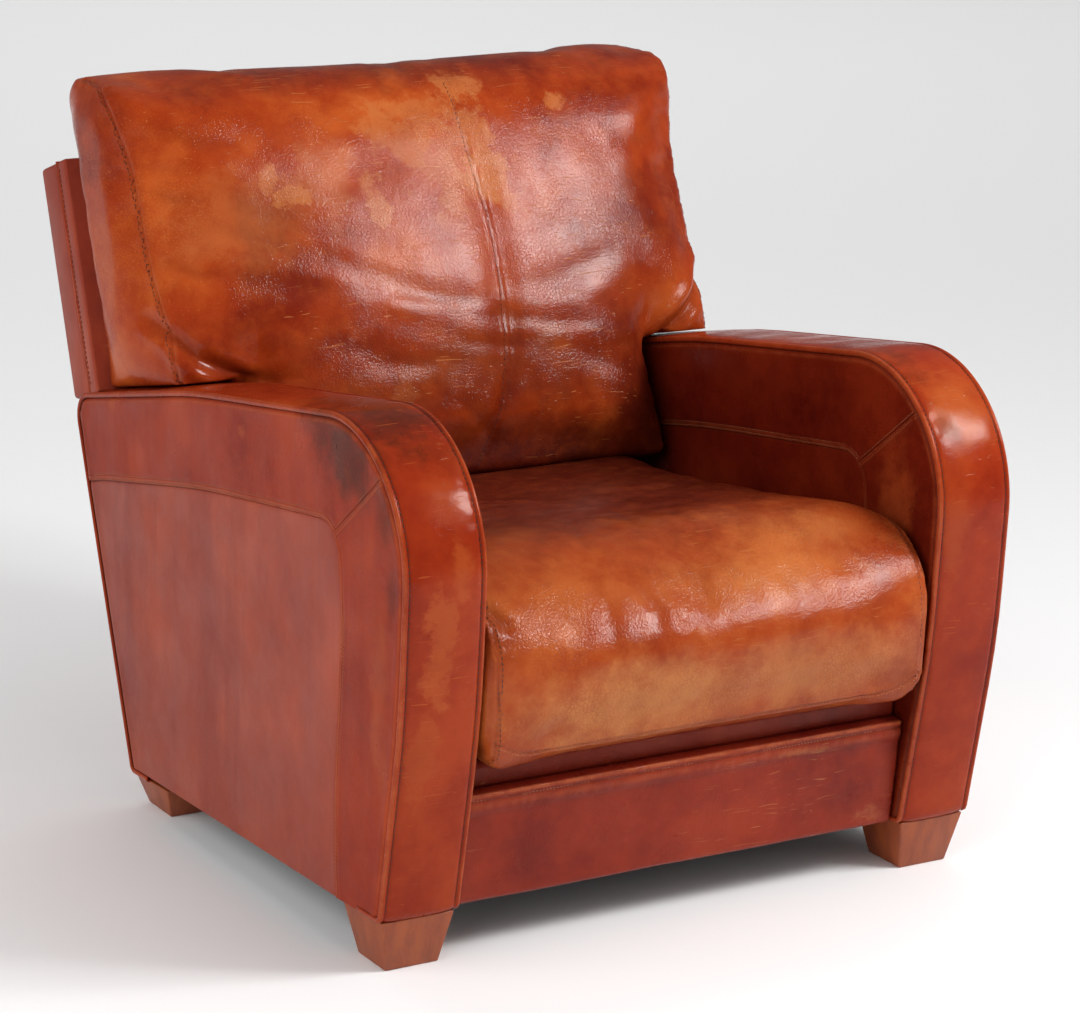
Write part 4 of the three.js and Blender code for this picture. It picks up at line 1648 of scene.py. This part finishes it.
# ---------------------------------------------------------------- feet
@dataclass
class Foot:
    """One tapered hardwood block, cut to fit under the sloping arm."""

    node: str
    top_slope: float = UNDERSIDE_FALL
    taper: tuple[float, float] = (70 / 94, 66 / 98)
    bevel: float = 0.0022

    def build(self) -> bpy.types.Object:
        """Builds the block from a cube whose lower face is drawn in and whose top follows the arm.

        Returns:
            The foot.
        """
        low, high = (np.array(corner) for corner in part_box(self.node))
        middle = (low + high) / 2
        deselect_all()
        bpy.ops.mesh.primitive_cube_add(size=2)
        obj = bpy.context.object
        obj.name = obj.data.name = f"{self.node}_block"
        points = read_points(obj)
        upper = points[:, 2] > 0
        half = (high - low) / 2
        scale = np.where(upper[:, None], 1.0, np.array([self.taper]))
        flat = middle[:2] + points[:, :2] * half[:2] * scale
        top = high[2] - (flat[:, 1] - low[1]) * self.top_slope
        write_points(obj, np.column_stack([flat, np.where(upper, top, low[2])]))
        bpy.ops.object.mode_set(mode="EDIT")
        bpy.ops.mesh.select_all(action="SELECT")
        bpy.ops.mesh.bevel(offset=self.bevel, segments=3, affect="EDGES")
        bpy.ops.object.mode_set(mode="OBJECT")
        make_active(obj)
        bpy.ops.object.shade_smooth_by_angle(angle=math.radians(35))
        return seated(obj, "foot_wood", FOOT_WOOD, self.node)


# ---------------------------------------------------------------- cushions
def closed_outline(corners: Sequence[Corner], view: SideView) -> np.ndarray:
    """Rounds a closed outline.

    Args:
        corners: (y, z, radius) in side-view millimetres.
        view: the side view.

    Returns:
        (y, z) points in metres.
    """
    first, last = np.array(corners[0][:2], float), np.array(corners[-1][:2], float)
    middle = (*((first + last) / 2), 0)
    line = filleted((middle, *corners, middle), step=0.2).points[:-1]
    return view.place(np.zeros(len(line)), line)[:, 1:]


@dataclass(frozen=True)
class Filling:
    """Swells a closed shape like a stuffed cover, with cloth under pressure."""

    voxel: float
    cap: float
    pressure: float = 4.0
    last_frame: int = 20

    def swell(self, obj: bpy.types.Object) -> None:
        """Remeshes the shape evenly, inflates it and limits how far each point may move.

        Args:
            obj: the flat-sided shape.
        """
        apply_modifier(obj, "REMESH", mode="VOXEL", voxel_size=self.voxel)
        start = read_points(obj)
        make_active(obj)
        cloth = obj.modifiers.new("Cloth", "CLOTH")
        cloth.settings.use_pressure = True
        cloth.settings.uniform_pressure_force = self.pressure
        cloth.settings.effector_weights.gravity = 0
        cloth.point_cache.frame_end = self.last_frame
        for frame in range(1, self.last_frame + 1):
            bpy.context.scene.frame_set(frame)
        bpy.ops.object.modifier_apply(modifier=cloth.name)
        bpy.context.scene.frame_set(1)
        moved = read_points(obj) - start
        reach = np.linalg.norm(moved, axis=1)[:, None] + 1e-9
        write_points(obj, start + moved / reach * self.cap * np.tanh(reach / self.cap))


@dataclass(frozen=True)
class Fold:
    """A crease in a cushion's cover; points are (x, z) seen from the front or (x, y) seen from above."""

    points: tuple[tuple[float, float], ...]
    depth: float
    width: float
    swell: float = 0.4
    bias: float = 0.0
    # how dark the crease is painted: painted shade, with some grime
    dirt_and_shade: float = 0.25


class Cover:
    """A cushion's skin, pressed in along lines that lie on it."""

    def __init__(self, obj: bpy.types.Object) -> None:
        """Args:
            obj: the cushion, already swollen.
        """
        self.obj = obj
        self.measure()
        self.off = np.zeros(len(self.points))
        self.rub = np.zeros(len(self.points))
        self.dirt_and_shade = np.zeros(len(self.points))

    def measure(self) -> None:
        """Reads the mesh again after it has changed."""
        self.points, self.normals = read_points(self.obj), read_normals(self.obj)
        self.tree = BVHTree.FromObject(self.obj, bpy.context.evaluated_depsgraph_get())

    def cast(self, starts: np.ndarray, ways: np.ndarray) -> np.ndarray:
        """Returns where rays first meet the cover, leaving out those that miss."""
        found = [self.tree.ray_cast(Vector(s), Vector(w))[0] for s, w in zip(starts, ways)]
        return np.array([tuple(hit) for hit in found if hit is not None])

    def from_front(self, points: Sequence[tuple[float, float]]) -> np.ndarray:
        """Lays a line on the cover, seen from the front.

        Args:
            points: (x, z) points.

        Returns:
            The line's points on the cover.
        """
        line = curved(points)
        starts = np.column_stack([line[:, 0], np.full(len(line), -2.0), line[:, 1]])
        return self.cast(starts, np.tile([0.0, 1.0, 0.0], (len(line), 1)))

    def from_above(self, points: Sequence[tuple[float, float]]) -> np.ndarray:
        """Lays a line on the cover, seen from above.

        Args:
            points: (x, y) points.

        Returns:
            The line's points on the cover.
        """
        line = curved(points)
        starts = np.column_stack([line, np.full(len(line), 2.0)])
        return self.cast(starts, np.tile([0.0, 0.0, -1.0], (len(line), 1)))

    def snapped(self, line: np.ndarray) -> tuple[np.ndarray, np.ndarray]:
        """Returns the nearest points of the cover to a line, and the normals there."""
        found = [self.tree.find_nearest(Vector(p)) for p in line]
        return np.array([tuple(f[0]) for f in found]), np.array([tuple(f[1]) for f in found])

    def press(self, line: np.ndarray, depth: float, width: float, swell: float = 0.4, bias: float = 0.0,
              dirt_and_shade: float = 0.25, rub: float = 0.0, gathers: float = 0.0, closed_ends: bool = True) -> None:
        """Adds a groove along a line on the cover.

        Args:
            line: points in metres on the cover.
            depth: how deep the groove is, in mm.
            width: the groove's half width, in mm.
            swell: how high the leather stands beside it, as a share of the depth.
            bias: -1 to 1; which side swells more.
            dirt_and_shade: how dark the groove is painted, for grime and shade in it.
            rub: how worn its lips are.
            gathers: the depth in mm of puckers across it.
            closed_ends: whether the groove fades out at its ends.
        """
        path = Path(line)
        count = max(8, int(path.length / 0.003))
        samples = path.share(np.linspace(0, 1, count))
        reach = 0.045 if gathers else max(0.012, 4.5 * width * MM)
        low, high = samples.min(axis=0) - reach, samples.max(axis=0) + reach
        near = np.flatnonzero(np.all((self.points > low) & (self.points < high), axis=1))
        if not len(near):
            return
        points = self.points[near]
        gap = np.full(len(near), 9.0)
        where = np.zeros(len(near), int)
        for start in range(0, len(near), 4000):
            block = np.linalg.norm(points[start:start + 4000, None] - samples[None], axis=2)
            where[start:start + 4000] = block.argmin(axis=1)
            gap[start:start + 4000] = block.min(axis=1)
        share = where / (count - 1)
        fade = np.sin(np.pi * np.clip(share, 0, 1)) ** 0.6 if closed_ends else np.ones(len(near))
        tangents = np.gradient(samples, axis=0)[where]
        across = np.cross(tangents, self.normals[near])
        side = np.sign(np.einsum("ij,ij->i", points - samples[where], across))
        d = gap / MM / width
        lift = swell * (1 + bias * side) * bell((d - 2.1) / 1.1)
        self.off[near] += fade * depth * MM * (lift - bell(d))
        # Painted shade, with some grime, along the groove's bottom.
        self.dirt_and_shade[near] = np.maximum(self.dirt_and_shade[near], fade * dirt_and_shade * bell(d / 0.8))
        self.rub[near] = np.maximum(self.rub[near], fade * rub * bell((d - 1.6) / 0.8))
        if gathers:
            along = where * path.length / count
            coarse = np.sin(along / 0.0041 + 2.2 * np.sin(along / 0.031))
            ripple = 0.5 * coarse + 0.2 * np.sin(along / 0.0017 + 1.0)
            spread = np.clip(gap / 0.004, 0, 1) * np.exp(-np.clip(gap - 0.004, 0, 1) / 0.011)
            self.off[near] += gathers * MM * ripple * spread * fade

    def crease(self, line: np.ndarray, fold: Fold, dirt_and_shade_share: float = 1.0) -> None:
        """Presses a fold in along a line on the cover."""
        self.press(line, fold.depth, fold.width, fold.swell, fold.bias, fold.dirt_and_shade * dirt_and_shade_share)

    def settle(self) -> None:
        """Moves the cover by what has been pressed into it so far."""
        write_points(self.obj, self.points + self.normals * self.off[:, None])
        self.off[:] = 0
        self.measure()

    def sew(self, thread: Stitching, line: np.ndarray, aside: float = 0.0) -> None:
        """Adds a row of stitches on the cover.

        Args:
            thread: the thread.
            line: points in metres.
            aside: how far to one side of the line, in mm.
        """
        even = Path(line).share(np.linspace(0, 1, 300))
        on, normals = self.snapped(even)
        shift = np.cross(np.gradient(on, axis=0), normals)
        shift /= np.linalg.norm(shift, axis=1)[:, None] + 1e-12
        on, normals = self.snapped(on + shift * aside * MM)
        thread.sew(on, normals)

    def paint(self) -> None:
        """Stores the wear, and the grime and painted shade in the grooves, for the leather to read."""
        paint(self.obj, "rub", np.clip(self.rub, 0, 1))
        paint(self.obj, "groove", np.clip(self.dirt_and_shade, 0, 1))


def curved(points: Sequence[tuple[float, float]], count: int = 60) -> np.ndarray:
    """Softens the bends of a line through a few points.

    Args:
        points: the points.
        count: how many points come back.

    Returns:
        The softened line.
    """
    line = Path(points).share(np.linspace(0, 1, count))
    for _ in range(10):
        line[1:-1] = (line[:-2] + 2 * line[1:-1] + line[2:]) / 4
    return line


@dataclass
class SeatCushion:
    """The loose seat cushion: a filled cover with seams near its sides and under its rolled front."""

    view: SideView
    half_width: float = 0.3085
    start_half: float = 0.305
    seam_x: float = 0.2935
    front_seam_z: float = 0.257
    lip_y: float = 18.0
    overhang_z: float = 0.2385
    crown: float = 0.007
    corner_lift: float = 0.020
    filling: Filling = Filling(voxel=0.0065, cap=0.021)
    outline: tuple[Corner, ...] = ((-53, 240, 22), (640, 198, 20), (640, 392, 20), (-52, 468, 96))
    front_folds: tuple[Fold, ...] = (
        Fold(((-0.205, 0.435), (-0.190, 0.395), (-0.200, 0.350)), 0.8, 11.0, 0.5),
        Fold(((-0.150, 0.445), (-0.138, 0.410), (-0.150, 0.365)), 1.0, 10.0, 0.5, 0.5),
        Fold(((-0.100, 0.440), (-0.078, 0.405), (-0.088, 0.385)), 1.5, 9.0, 0.6, -0.4),
        Fold(((-0.060, 0.400), (-0.030, 0.385), (-0.042, 0.350)), 1.1, 9.0, 0.5, 0.4),
        Fold(((-0.012, 0.450), (-0.004, 0.410), (-0.030, 0.375)), 1.4, 9.0, 0.5, -0.5),
        Fold(((0.038, 0.44), (0.056, 0.410), (0.042, 0.385)), 1.0, 11.0, 0.5, 0.4),
        Fold(((0.104, 0.430), (0.118, 0.395), (0.100, 0.37)), 0.9, 11.0, 0.5),
        Fold(((0.170, 0.445), (0.190, 0.42), (0.215, 0.41)), 0.9, 12.0, 0.5),
        Fold(((-0.300, 0.440), (-0.285, 0.42), (-0.268, 0.405)), 3.2, 8.0, 0.4),
        Fold(((-0.26, 0.36), (-0.14, 0.345), (-0.02, 0.35)), 0.9, 14.0, 0.5),
        Fold(((0.0, 0.335), (0.12, 0.338), (0.25, 0.35)), 0.8, 14.0, 0.5),
    )
    top_folds: tuple[Fold, ...] = (
        Fold(((-0.30, -0.13), (-0.20, -0.105), (-0.10, -0.125), (-0.03, -0.175)), 4.5, 9.0, 0.6, 0.5, 0.55),
        Fold(((-0.24, -0.20), (-0.12, -0.19), (-0.02, -0.215), (0.06, -0.21)), 2.5, 10.0, 0.6, 0.3, 0.3),
        Fold(((-0.10, -0.30), (-0.02, -0.27), (0.08, -0.28)), 1.8, 12.0, 0.5),
        Fold(((0.02, -0.14), (0.12, -0.16), (0.22, -0.15)), 2.0, 14.0, 0.5),
        Fold(((-0.05, -0.40), (-0.02, -0.34), (-0.04, -0.28)), 1.8, 10.0, 0.5),
        Fold(((0.05, -0.40), (0.04, -0.33), (0.07, -0.27)), 1.5, 11.0, 0.5),
        Fold(((-0.13, -0.41), (-0.11, -0.35), (-0.13, -0.30)), 1.6, 11.0, 0.5),
    )

    def ring(self, cover: Cover, x: float, start: float, end: float) -> np.ndarray:
        """Lays a line around the cushion at one x.

        Args:
            cover: the cushion's skin.
            x: where it is.
            start: the angle from straight ahead, in degrees.
            end: the last angle.

        Returns:
            The line's points on the cover.
        """
        centre = self.view.place(np.array([x]), np.array([[140.0, 335.0]]))[0]
        angles = np.radians(np.linspace(start, end, 160))
        rays = np.column_stack([np.zeros(160), -np.cos(angles), np.sin(angles)])
        return cover.cast(centre + rays, -rays)

    def build(self, dark: Stitching, tan: Stitching) -> bpy.types.Object:
        """Builds the cushion.

        Args:
            dark: the dark thread.
            tan: the tan thread.

        Returns:
            The cushion.
        """
        outline = closed_outline(self.outline, self.view)
        obj = prism("seat_cushion_cover", outline, -self.start_half, self.start_half)
        self.filling.swell(obj)
        points = read_points(obj)
        local_y = (points[:, 1] + self.view.back_shift) / MM
        deck = (236 - 0.068 * (local_y + 48)) * MM
        lowest = np.where(local_y > self.lip_y, deck, self.overhang_z)
        points[:, 2] = np.maximum(points[:, 2], lowest)
        points[:, 0] = np.clip(points[:, 0], -self.half_width, self.half_width)
        front = smooth((120 - local_y) / 120) * bell(points[:, 0] / 0.26)
        points[:, 1] -= self.crown * front * smooth((points[:, 2] - 0.24) / 0.12)
        corner = smooth((np.abs(points[:, 0]) - 0.268) / 0.040) ** 2
        corner *= smooth((self.lip_y - local_y) / 45)
        points[:, 2] += self.corner_lift * corner * smooth((0.300 - points[:, 2]) / 0.060)
        write_points(obj, points)
        apply_modifier(obj, "SMOOTH", iterations=6, factor=0.5)
        apply_modifier(obj, "SUBSURF", levels=1, render_levels=1)
        cover = Cover(obj)
        wide = unevenness(cover.points, 0.11, 2.0) * 0.0022 + unevenness(cover.points, 0.045, 7.0) * 0.0011
        free = smooth((self.half_width - np.abs(cover.points[:, 0])) / 0.02)
        free *= smooth((cover.points[:, 2] - 0.25) / 0.03)
        cover.off += wide * free
        cover.settle()

        sides = [self.ring(cover, sign * self.seam_x, -28, 128) for sign in (-1, 1)]
        for line in sides:
            cover.press(line, 2.0, 2.0, 0.5, dirt_and_shade=0.3, rub=0.55, gathers=0.5, closed_ends=False)
        across = np.linspace(-self.seam_x, self.seam_x, 120)
        rise = 0.022 * smooth((np.abs(across) - 0.245) / 0.05) ** 2
        front = cover.from_front(list(zip(across, self.front_seam_z + rise)))
        cover.press(front, 1.8, 1.8, 0.5, dirt_and_shade=0.3, rub=0.35, gathers=0.35, closed_ends=False)
        for fold in self.front_folds:
            cover.crease(cover.from_front(fold.points), fold, 0.4)
        for fold in self.top_folds:
            cover.crease(cover.from_above(fold.points), fold)
        cover.settle()
        for sign, line in zip((-1, 1), sides):
            cover.sew(dark, line, 4.5 * -sign)
        cover.sew(tan, front, 3.6)
        cover.paint()
        smooth_shade(obj)
        return seated(obj, "cushion_leather", SEAT_LEATHER, "seat_cushion")


@dataclass
class BackCushion:
    """The loose back cushion: two halves joined by a centre seam, with boxed sides that lap the arms."""

    view: SideView
    lean: BackFrame
    arm_top: Path
    half_width: float = 0.3085
    full_half: float = 0.419
    crown: float = 0.024
    start_half: float = 0.410
    seam_x: float = 0.404
    filling: Filling = Filling(voxel=0.0075, cap=0.026)
    low_half: float = 0.300
    top_outline: tuple[Corner, ...] = ((884, 800, 40), (916, 924, 34), (738, 932, 55))
    low_outline: tuple[Corner, ...] = ((524, 405, 15), (728, 380, 8))
    wing_outline: tuple[Corner, ...] = ((586, 560, 12), (792, 515, 5))
    edge_seam: tuple[tuple[float, float], ...] = (
        (569, 560), (590, 592), (610, 633), (648, 681), (677, 744), (706, 819), (729, 864), (756, 898),
        (801, 921), (850, 925),
    )
    centre_seam: tuple[tuple[float, float], ...] = (
        (0.052, 0.905), (0.055, 0.83), (0.066, 0.74), (0.064, 0.65), (0.058, 0.58), (0.039, 0.495),
        (0.016, 0.43),
    )
    folds: tuple[Fold, ...] = (
        Fold(((-0.345, 0.765), (-0.225, 0.729), (-0.105, 0.684), (0.050, 0.652)), 1.9, 17.0, 0.4, 0.5, 0.25),
        Fold(((-0.32, 0.814), (-0.206, 0.752), (-0.069, 0.724)), 1.0, 20.0, 0.4),
        Fold(((-0.32, 0.70), (-0.20, 0.68), (-0.10, 0.66)), 1.1, 15.0, 0.4, 0.3),
        Fold(((-0.405, 0.648), (-0.362, 0.601), (-0.312, 0.575), (-0.255, 0.56)), 7.5, 9.0, 0.5, 0.4, 0.45),
        Fold(((0.408, 0.662), (0.379, 0.623), (0.340, 0.588), (0.305, 0.56)), 7.5, 9.0, 0.5, 0.4, 0.45),
        Fold(((0.072, 0.652), (0.157, 0.663), (0.254, 0.693)), 1.5, 17.0, 0.4),
        Fold(((-0.108, 0.669), (-0.024, 0.652), (0.055, 0.643)), 1.5, 10.8, 0.4, 0.0, 0.35),
        Fold(((-0.056, 0.638), (0.058, 0.622), (0.206, 0.603)), 1.0, 11.0, 0.5),
        Fold(((0.062, 0.556), (0.037, 0.507), (0.015, 0.472)), 2.6, 9.6, 0.4, 0.5, 0.5),
        Fold(((-0.02, 0.60), (0.05, 0.588), (0.12, 0.592)), 0.9, 9.0, 0.5),
        Fold(((-0.03, 0.53), (0.01, 0.50), (0.03, 0.455)), 1.5, 9.6, 0.5),
        Fold(((0.08, 0.56), (0.10, 0.50), (0.08, 0.45)), 1.4, 10.8, 0.5),
        Fold(((0.14, 0.59), (0.20, 0.555), (0.27, 0.545)), 1.4, 14.4, 0.5),
        Fold(((-0.20, 0.62), (-0.12, 0.585), (-0.04, 0.575)), 1.1, 15.0, 0.4),
        Fold(((-0.22, 0.55), (-0.12, 0.52), (-0.03, 0.535)), 1.2, 14.4, 0.5),
        Fold(((-0.38, 0.885), (-0.33, 0.86), (-0.26, 0.85)), 1.3, 14.4, 0.5),
        Fold(((0.38, 0.84), (0.33, 0.82), (0.27, 0.825)), 1.3, 15.6, 0.5),
        Fold(((-0.385, 0.72), (-0.35, 0.70), (-0.31, 0.705)), 1.4, 10.8, 0.5),
        Fold(((-0.385, 0.80), (-0.355, 0.785), (-0.32, 0.79)), 1.1, 9.0, 0.5),
        Fold(((0.385, 0.72), (0.35, 0.705), (0.30, 0.715)), 1.2, 10.8, 0.5),
    )

    def fit(self, points: np.ndarray) -> np.ndarray:
        """Keeps the swollen cushion off the arms and in front of the back frame.

        Args:
            points: its vertices, which it changes.

        Returns:
            The same vertices.
        """
        y = (points[:, 1] + self.view.back_shift) / MM
        order = np.argsort(self.arm_top.points[:, 0])
        top = np.interp(y, self.arm_top.points[order, 0], self.arm_top.points[order, 1]) * MM + 0.0055
        outside = np.abs(points[:, 0]) > self.half_width
        under = outside & (points[:, 2] < top)
        shallow = under & (points[:, 2] > top - 0.045)
        points[shallow, 2] = top[shallow]
        deep = under & ~shallow
        points[deep, 0] = np.sign(points[deep, 0]) * self.half_width
        points[:, 0] = np.clip(points[:, 0], -self.full_half, self.full_half)
        foot, rake = self.lean.foot, math.tan(self.lean.rake)
        plane = foot[0] + (points[:, 2] / MM - foot[1]) * rake - 1.0
        behind = (points[:, 2] < self.lean_top()) & (y > plane)
        points[behind, 1] = plane[behind] * MM - self.view.back_shift
        return points

    def lean_top(self) -> float:
        """Returns the height of the back frame's front top edge, in metres."""
        return (self.lean.foot[1] + self.lean.high * math.cos(self.lean.rake)) * MM

    def build(self, dark: Stitching) -> bpy.types.Object:
        """Builds the cushion.

        Args:
            dark: the dark thread.

        Returns:
            The cushion.
        """
        below = closed_outline(self.low_outline + self.top_outline, self.view)
        low = prism("back_cushion_low", below, -self.low_half, self.low_half)
        wings = closed_outline(self.wing_outline + self.top_outline, self.view)
        obj = prism("back_cushion_cover", wings, -self.start_half, self.start_half)
        make_active(obj)
        low.select_set(True)
        bpy.ops.object.join()
        self.filling.swell(obj)
        points = read_points(obj)
        across = np.clip(np.abs(points[:, 0]) / self.full_half, 0, 1)
        crown = (1 - across ** 2) * bell((points[:, 2] - 0.66) / 0.2)
        front = smooth(0.5 - read_normals(obj)[:, 1])
        points[:, 1] -= self.crown * crown * front
        write_points(obj, self.fit(points))
        apply_modifier(obj, "SMOOTH", iterations=5, factor=0.5)
        apply_modifier(obj, "SUBSURF", levels=1, render_levels=1)
        cover = Cover(obj)
        waves = unevenness(cover.points, 0.14, 12.0) * 0.0022 + unevenness(cover.points, 0.05, 17.0) * 0.0006
        facing = smooth(-cover.normals[:, 1] * 1.5 + 0.3)
        cover.off += waves * facing
        centre = cover.from_front(self.centre_seam)
        cover.press(centre, 4.0, 24.0, 0.1, dirt_and_shade=0.0)
        cover.settle()

        edge = curved(self.edge_seam, 90)
        sides = []
        for sign in (-1, 1):
            line, _ = cover.snapped(self.view.place(np.full(len(edge), sign * self.seam_x), edge))
            sides.append(line)
            cover.press(line, 2.4, 2.4, 0.5, dirt_and_shade=0.35, rub=0.5, gathers=0.8, closed_ends=False)
        centre, _ = cover.snapped(centre)
        cover.press(centre, 1.7, 2.0, 0.15, dirt_and_shade=0.5, gathers=0.35)
        for fold in self.folds:
            cover.crease(cover.from_front(fold.points), fold)
        cover.settle()
        write_points(obj, self.fit(read_points(obj)))
        cover.measure()
        for sign, line in zip((-1, 1), sides):
            cover.sew(dark, line, 4.5 * sign)
        cover.sew(dark, centre, 4.0)
        cover.paint()
        smooth_shade(obj)
        return seated(obj, "cushion_leather", BACK_LEATHER, "back_cushion")


# ---------------------------------------------------------------- studio
@dataclass
class Softbox:
    """A rectangular lamp that looks at the chair's middle."""

    name: str
    way: Point
    distance: float
    size: tuple[float, float]
    power: float
    aim: Point = (0.0, 0.0, 0.5)
    mirrored: bool = True

    def build(self) -> None:
        """Adds the lamp."""
        lamp = bpy.data.lights.new(self.name, "AREA")
        lamp.shape = "RECTANGLE"
        lamp.size, lamp.size_y = self.size
        lamp.energy = self.power
        obj = bpy.data.objects.new(self.name, lamp)
        way = Vector(self.way).normalized()
        obj.location = Vector(self.aim) + way * self.distance
        obj.rotation_euler = way.to_track_quat("Z", "Y").to_euler()
        obj.visible_glossy = self.mirrored
        bpy.context.scene.collection.objects.link(obj)


@dataclass
class Studio:
    """The camera, the pale floor and the soft lamps."""

    eye: Point = (-2.2284, -3.8456, 1.5925)
    yaw: float = math.radians(30.6576)
    pitch: float = math.radians(14.9799)
    roll: float = 0.02
    lens: float = 120.66
    floor_size: float = 60.0
    world_light: float = 0.16
    even_light: float = 0.6
    key_way: Point = (0.467, -0.523, 0.712)
    window_way: Point = (0.543, -0.61, 0.5745)
    pane_apart: float = 0.26

    def camera(self) -> None:
        """Adds the camera."""
        yaw, pitch = self.yaw, self.pitch
        level = math.cos(pitch)
        ahead = Vector((math.sin(yaw) * level, math.cos(yaw) * level, -math.sin(pitch)))
        across = Vector((math.cos(yaw), -math.sin(yaw), 0))
        upward = across.cross(ahead)
        right = across * math.cos(self.roll) + upward * math.sin(self.roll)
        up = upward * math.cos(self.roll) - across * math.sin(self.roll)
        data = bpy.data.cameras.new("studio_camera")
        data.lens = self.lens
        data.sensor_width = 36
        obj = bpy.data.objects.new("studio_camera", data)
        turned = Matrix((right, up, -ahead)).transposed().to_4x4()
        obj.matrix_world = Matrix.Translation(self.eye) @ turned
        bpy.context.scene.collection.objects.link(obj)
        bpy.context.scene.camera = obj

    def floor(self) -> None:
        """Adds the floor, level with the feet."""
        deselect_all()
        bpy.ops.mesh.primitive_plane_add(size=self.floor_size, location=(0, 0, 0))
        obj = bpy.context.object
        obj.name = "studio_floor"
        weave = Weave("pale_floor")
        tone = weave.mix(weave.noise(0.5, 2), (0.86, 0.86, 0.86), (0.88, 0.88, 0.88))
        obj.data.materials.append(weave.finish(tone, 0.85))

    def lights(self) -> None:
        """Adds the lamps and the sky."""
        across = Vector((-self.window_way[1], self.window_way[0], 0)).normalized() * self.pane_apart
        for name, side in (("left_pane", -1), ("right_pane", 1)):
            aim = (side * across.x, side * across.y, 0.5)
            Softbox(name, self.window_way, 3.0, (0.42, 0.84), 33, aim).build()
        Softbox("pane_glow", self.window_way, 3.1, (1.9, 1.7), 14, mirrored=False).build()
        Softbox("left_fill", (-0.88, -0.25, 0.40), 3.8, (5.0, 3.6), 125, mirrored=False).build()
        backdrop = Softbox("backdrop_lamp", (0.0, 0.0, 1.0), 6.0, (11.0, 11.0), 450, aim=(3.5, 7.0, 0.0),
                           mirrored=False)
        backdrop.build()
        deselect_all()
        bpy.ops.object.light_add(type="SUN")
        sun = bpy.context.object
        sun.name = sun.data.name = "even_light"
        sun.data.energy = self.even_light
        sun.data.angle = math.radians(70)
        sun.visible_glossy = False
        sun.rotation_euler = Vector(self.key_way).to_track_quat("Z", "Y").to_euler()
        world = bpy.data.worlds.new("studio_air")
        bpy.context.scene.world = world
        world.use_nodes = True
        air = world.node_tree.nodes["Background"]
        air.inputs["Color"].default_value = (1, 1, 1, 1)
        air.inputs["Strength"].default_value = self.world_light
        bpy.context.scene.view_settings.view_transform = "Standard"

    def build(self) -> None:
        """Builds the studio."""
        self.camera()
        self.floor()
        self.lights()


# ---------------------------------------------------------------- the chair
def dress_hidden_nodes(frame: dict) -> None:
    """Gives every construction node the finish of its slot.

    Args:
        frame: the loaded construction model.
    """
    for part in frame["record"]["subparts"]:
        obj = frame["nodes"][part["node"]]
        obj.data.materials.clear()
        obj.data.materials.append(HIDDEN_FINISHES[part["material_slot"]].material())


def main() -> None:
    """Builds the chair around its construction model."""
    logging.basicConfig(level=logging.INFO, format="%(message)s")
    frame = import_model()
    low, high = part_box("front_left_foot")
    foot_middle = low[1] + (high[1] - low[1]) / 2
    view = SideView(back_shift=FOOT_BACK * MM - foot_middle)
    Studio().build()
    dress_hidden_nodes(frame)

    dark = Stitching("dark_stitches", DARK_THREAD)
    tan = Stitching("tan_stitches", TAN_THREAD, pitch=0.0046, fill=0.62, radius=0.00055)
    arms = [Arm(side, view) for side in Side]
    for arm in arms:
        arm.build(dark, tan)
    FrontPanel(view).build(tan)
    back = BackFrame(view)
    back.build(dark)
    for node in ("front_left_foot", "front_right_foot", "rear_left_foot", "rear_right_foot"):
        Foot(node).build()
    SeatCushion(view).build(dark, tan)
    top = arms[0].outline
    arm_top = top.part(top.nearest((-40, 640)), top.nearest((858, 505)), 300)
    BackCushion(view, back, arm_top).build(dark)
    seated(dark.make(), "body_leather", DARK_THREAD)
    seated(tan.make(), "body_leather", TAN_THREAD)


if __name__ == "__main__":
    main()
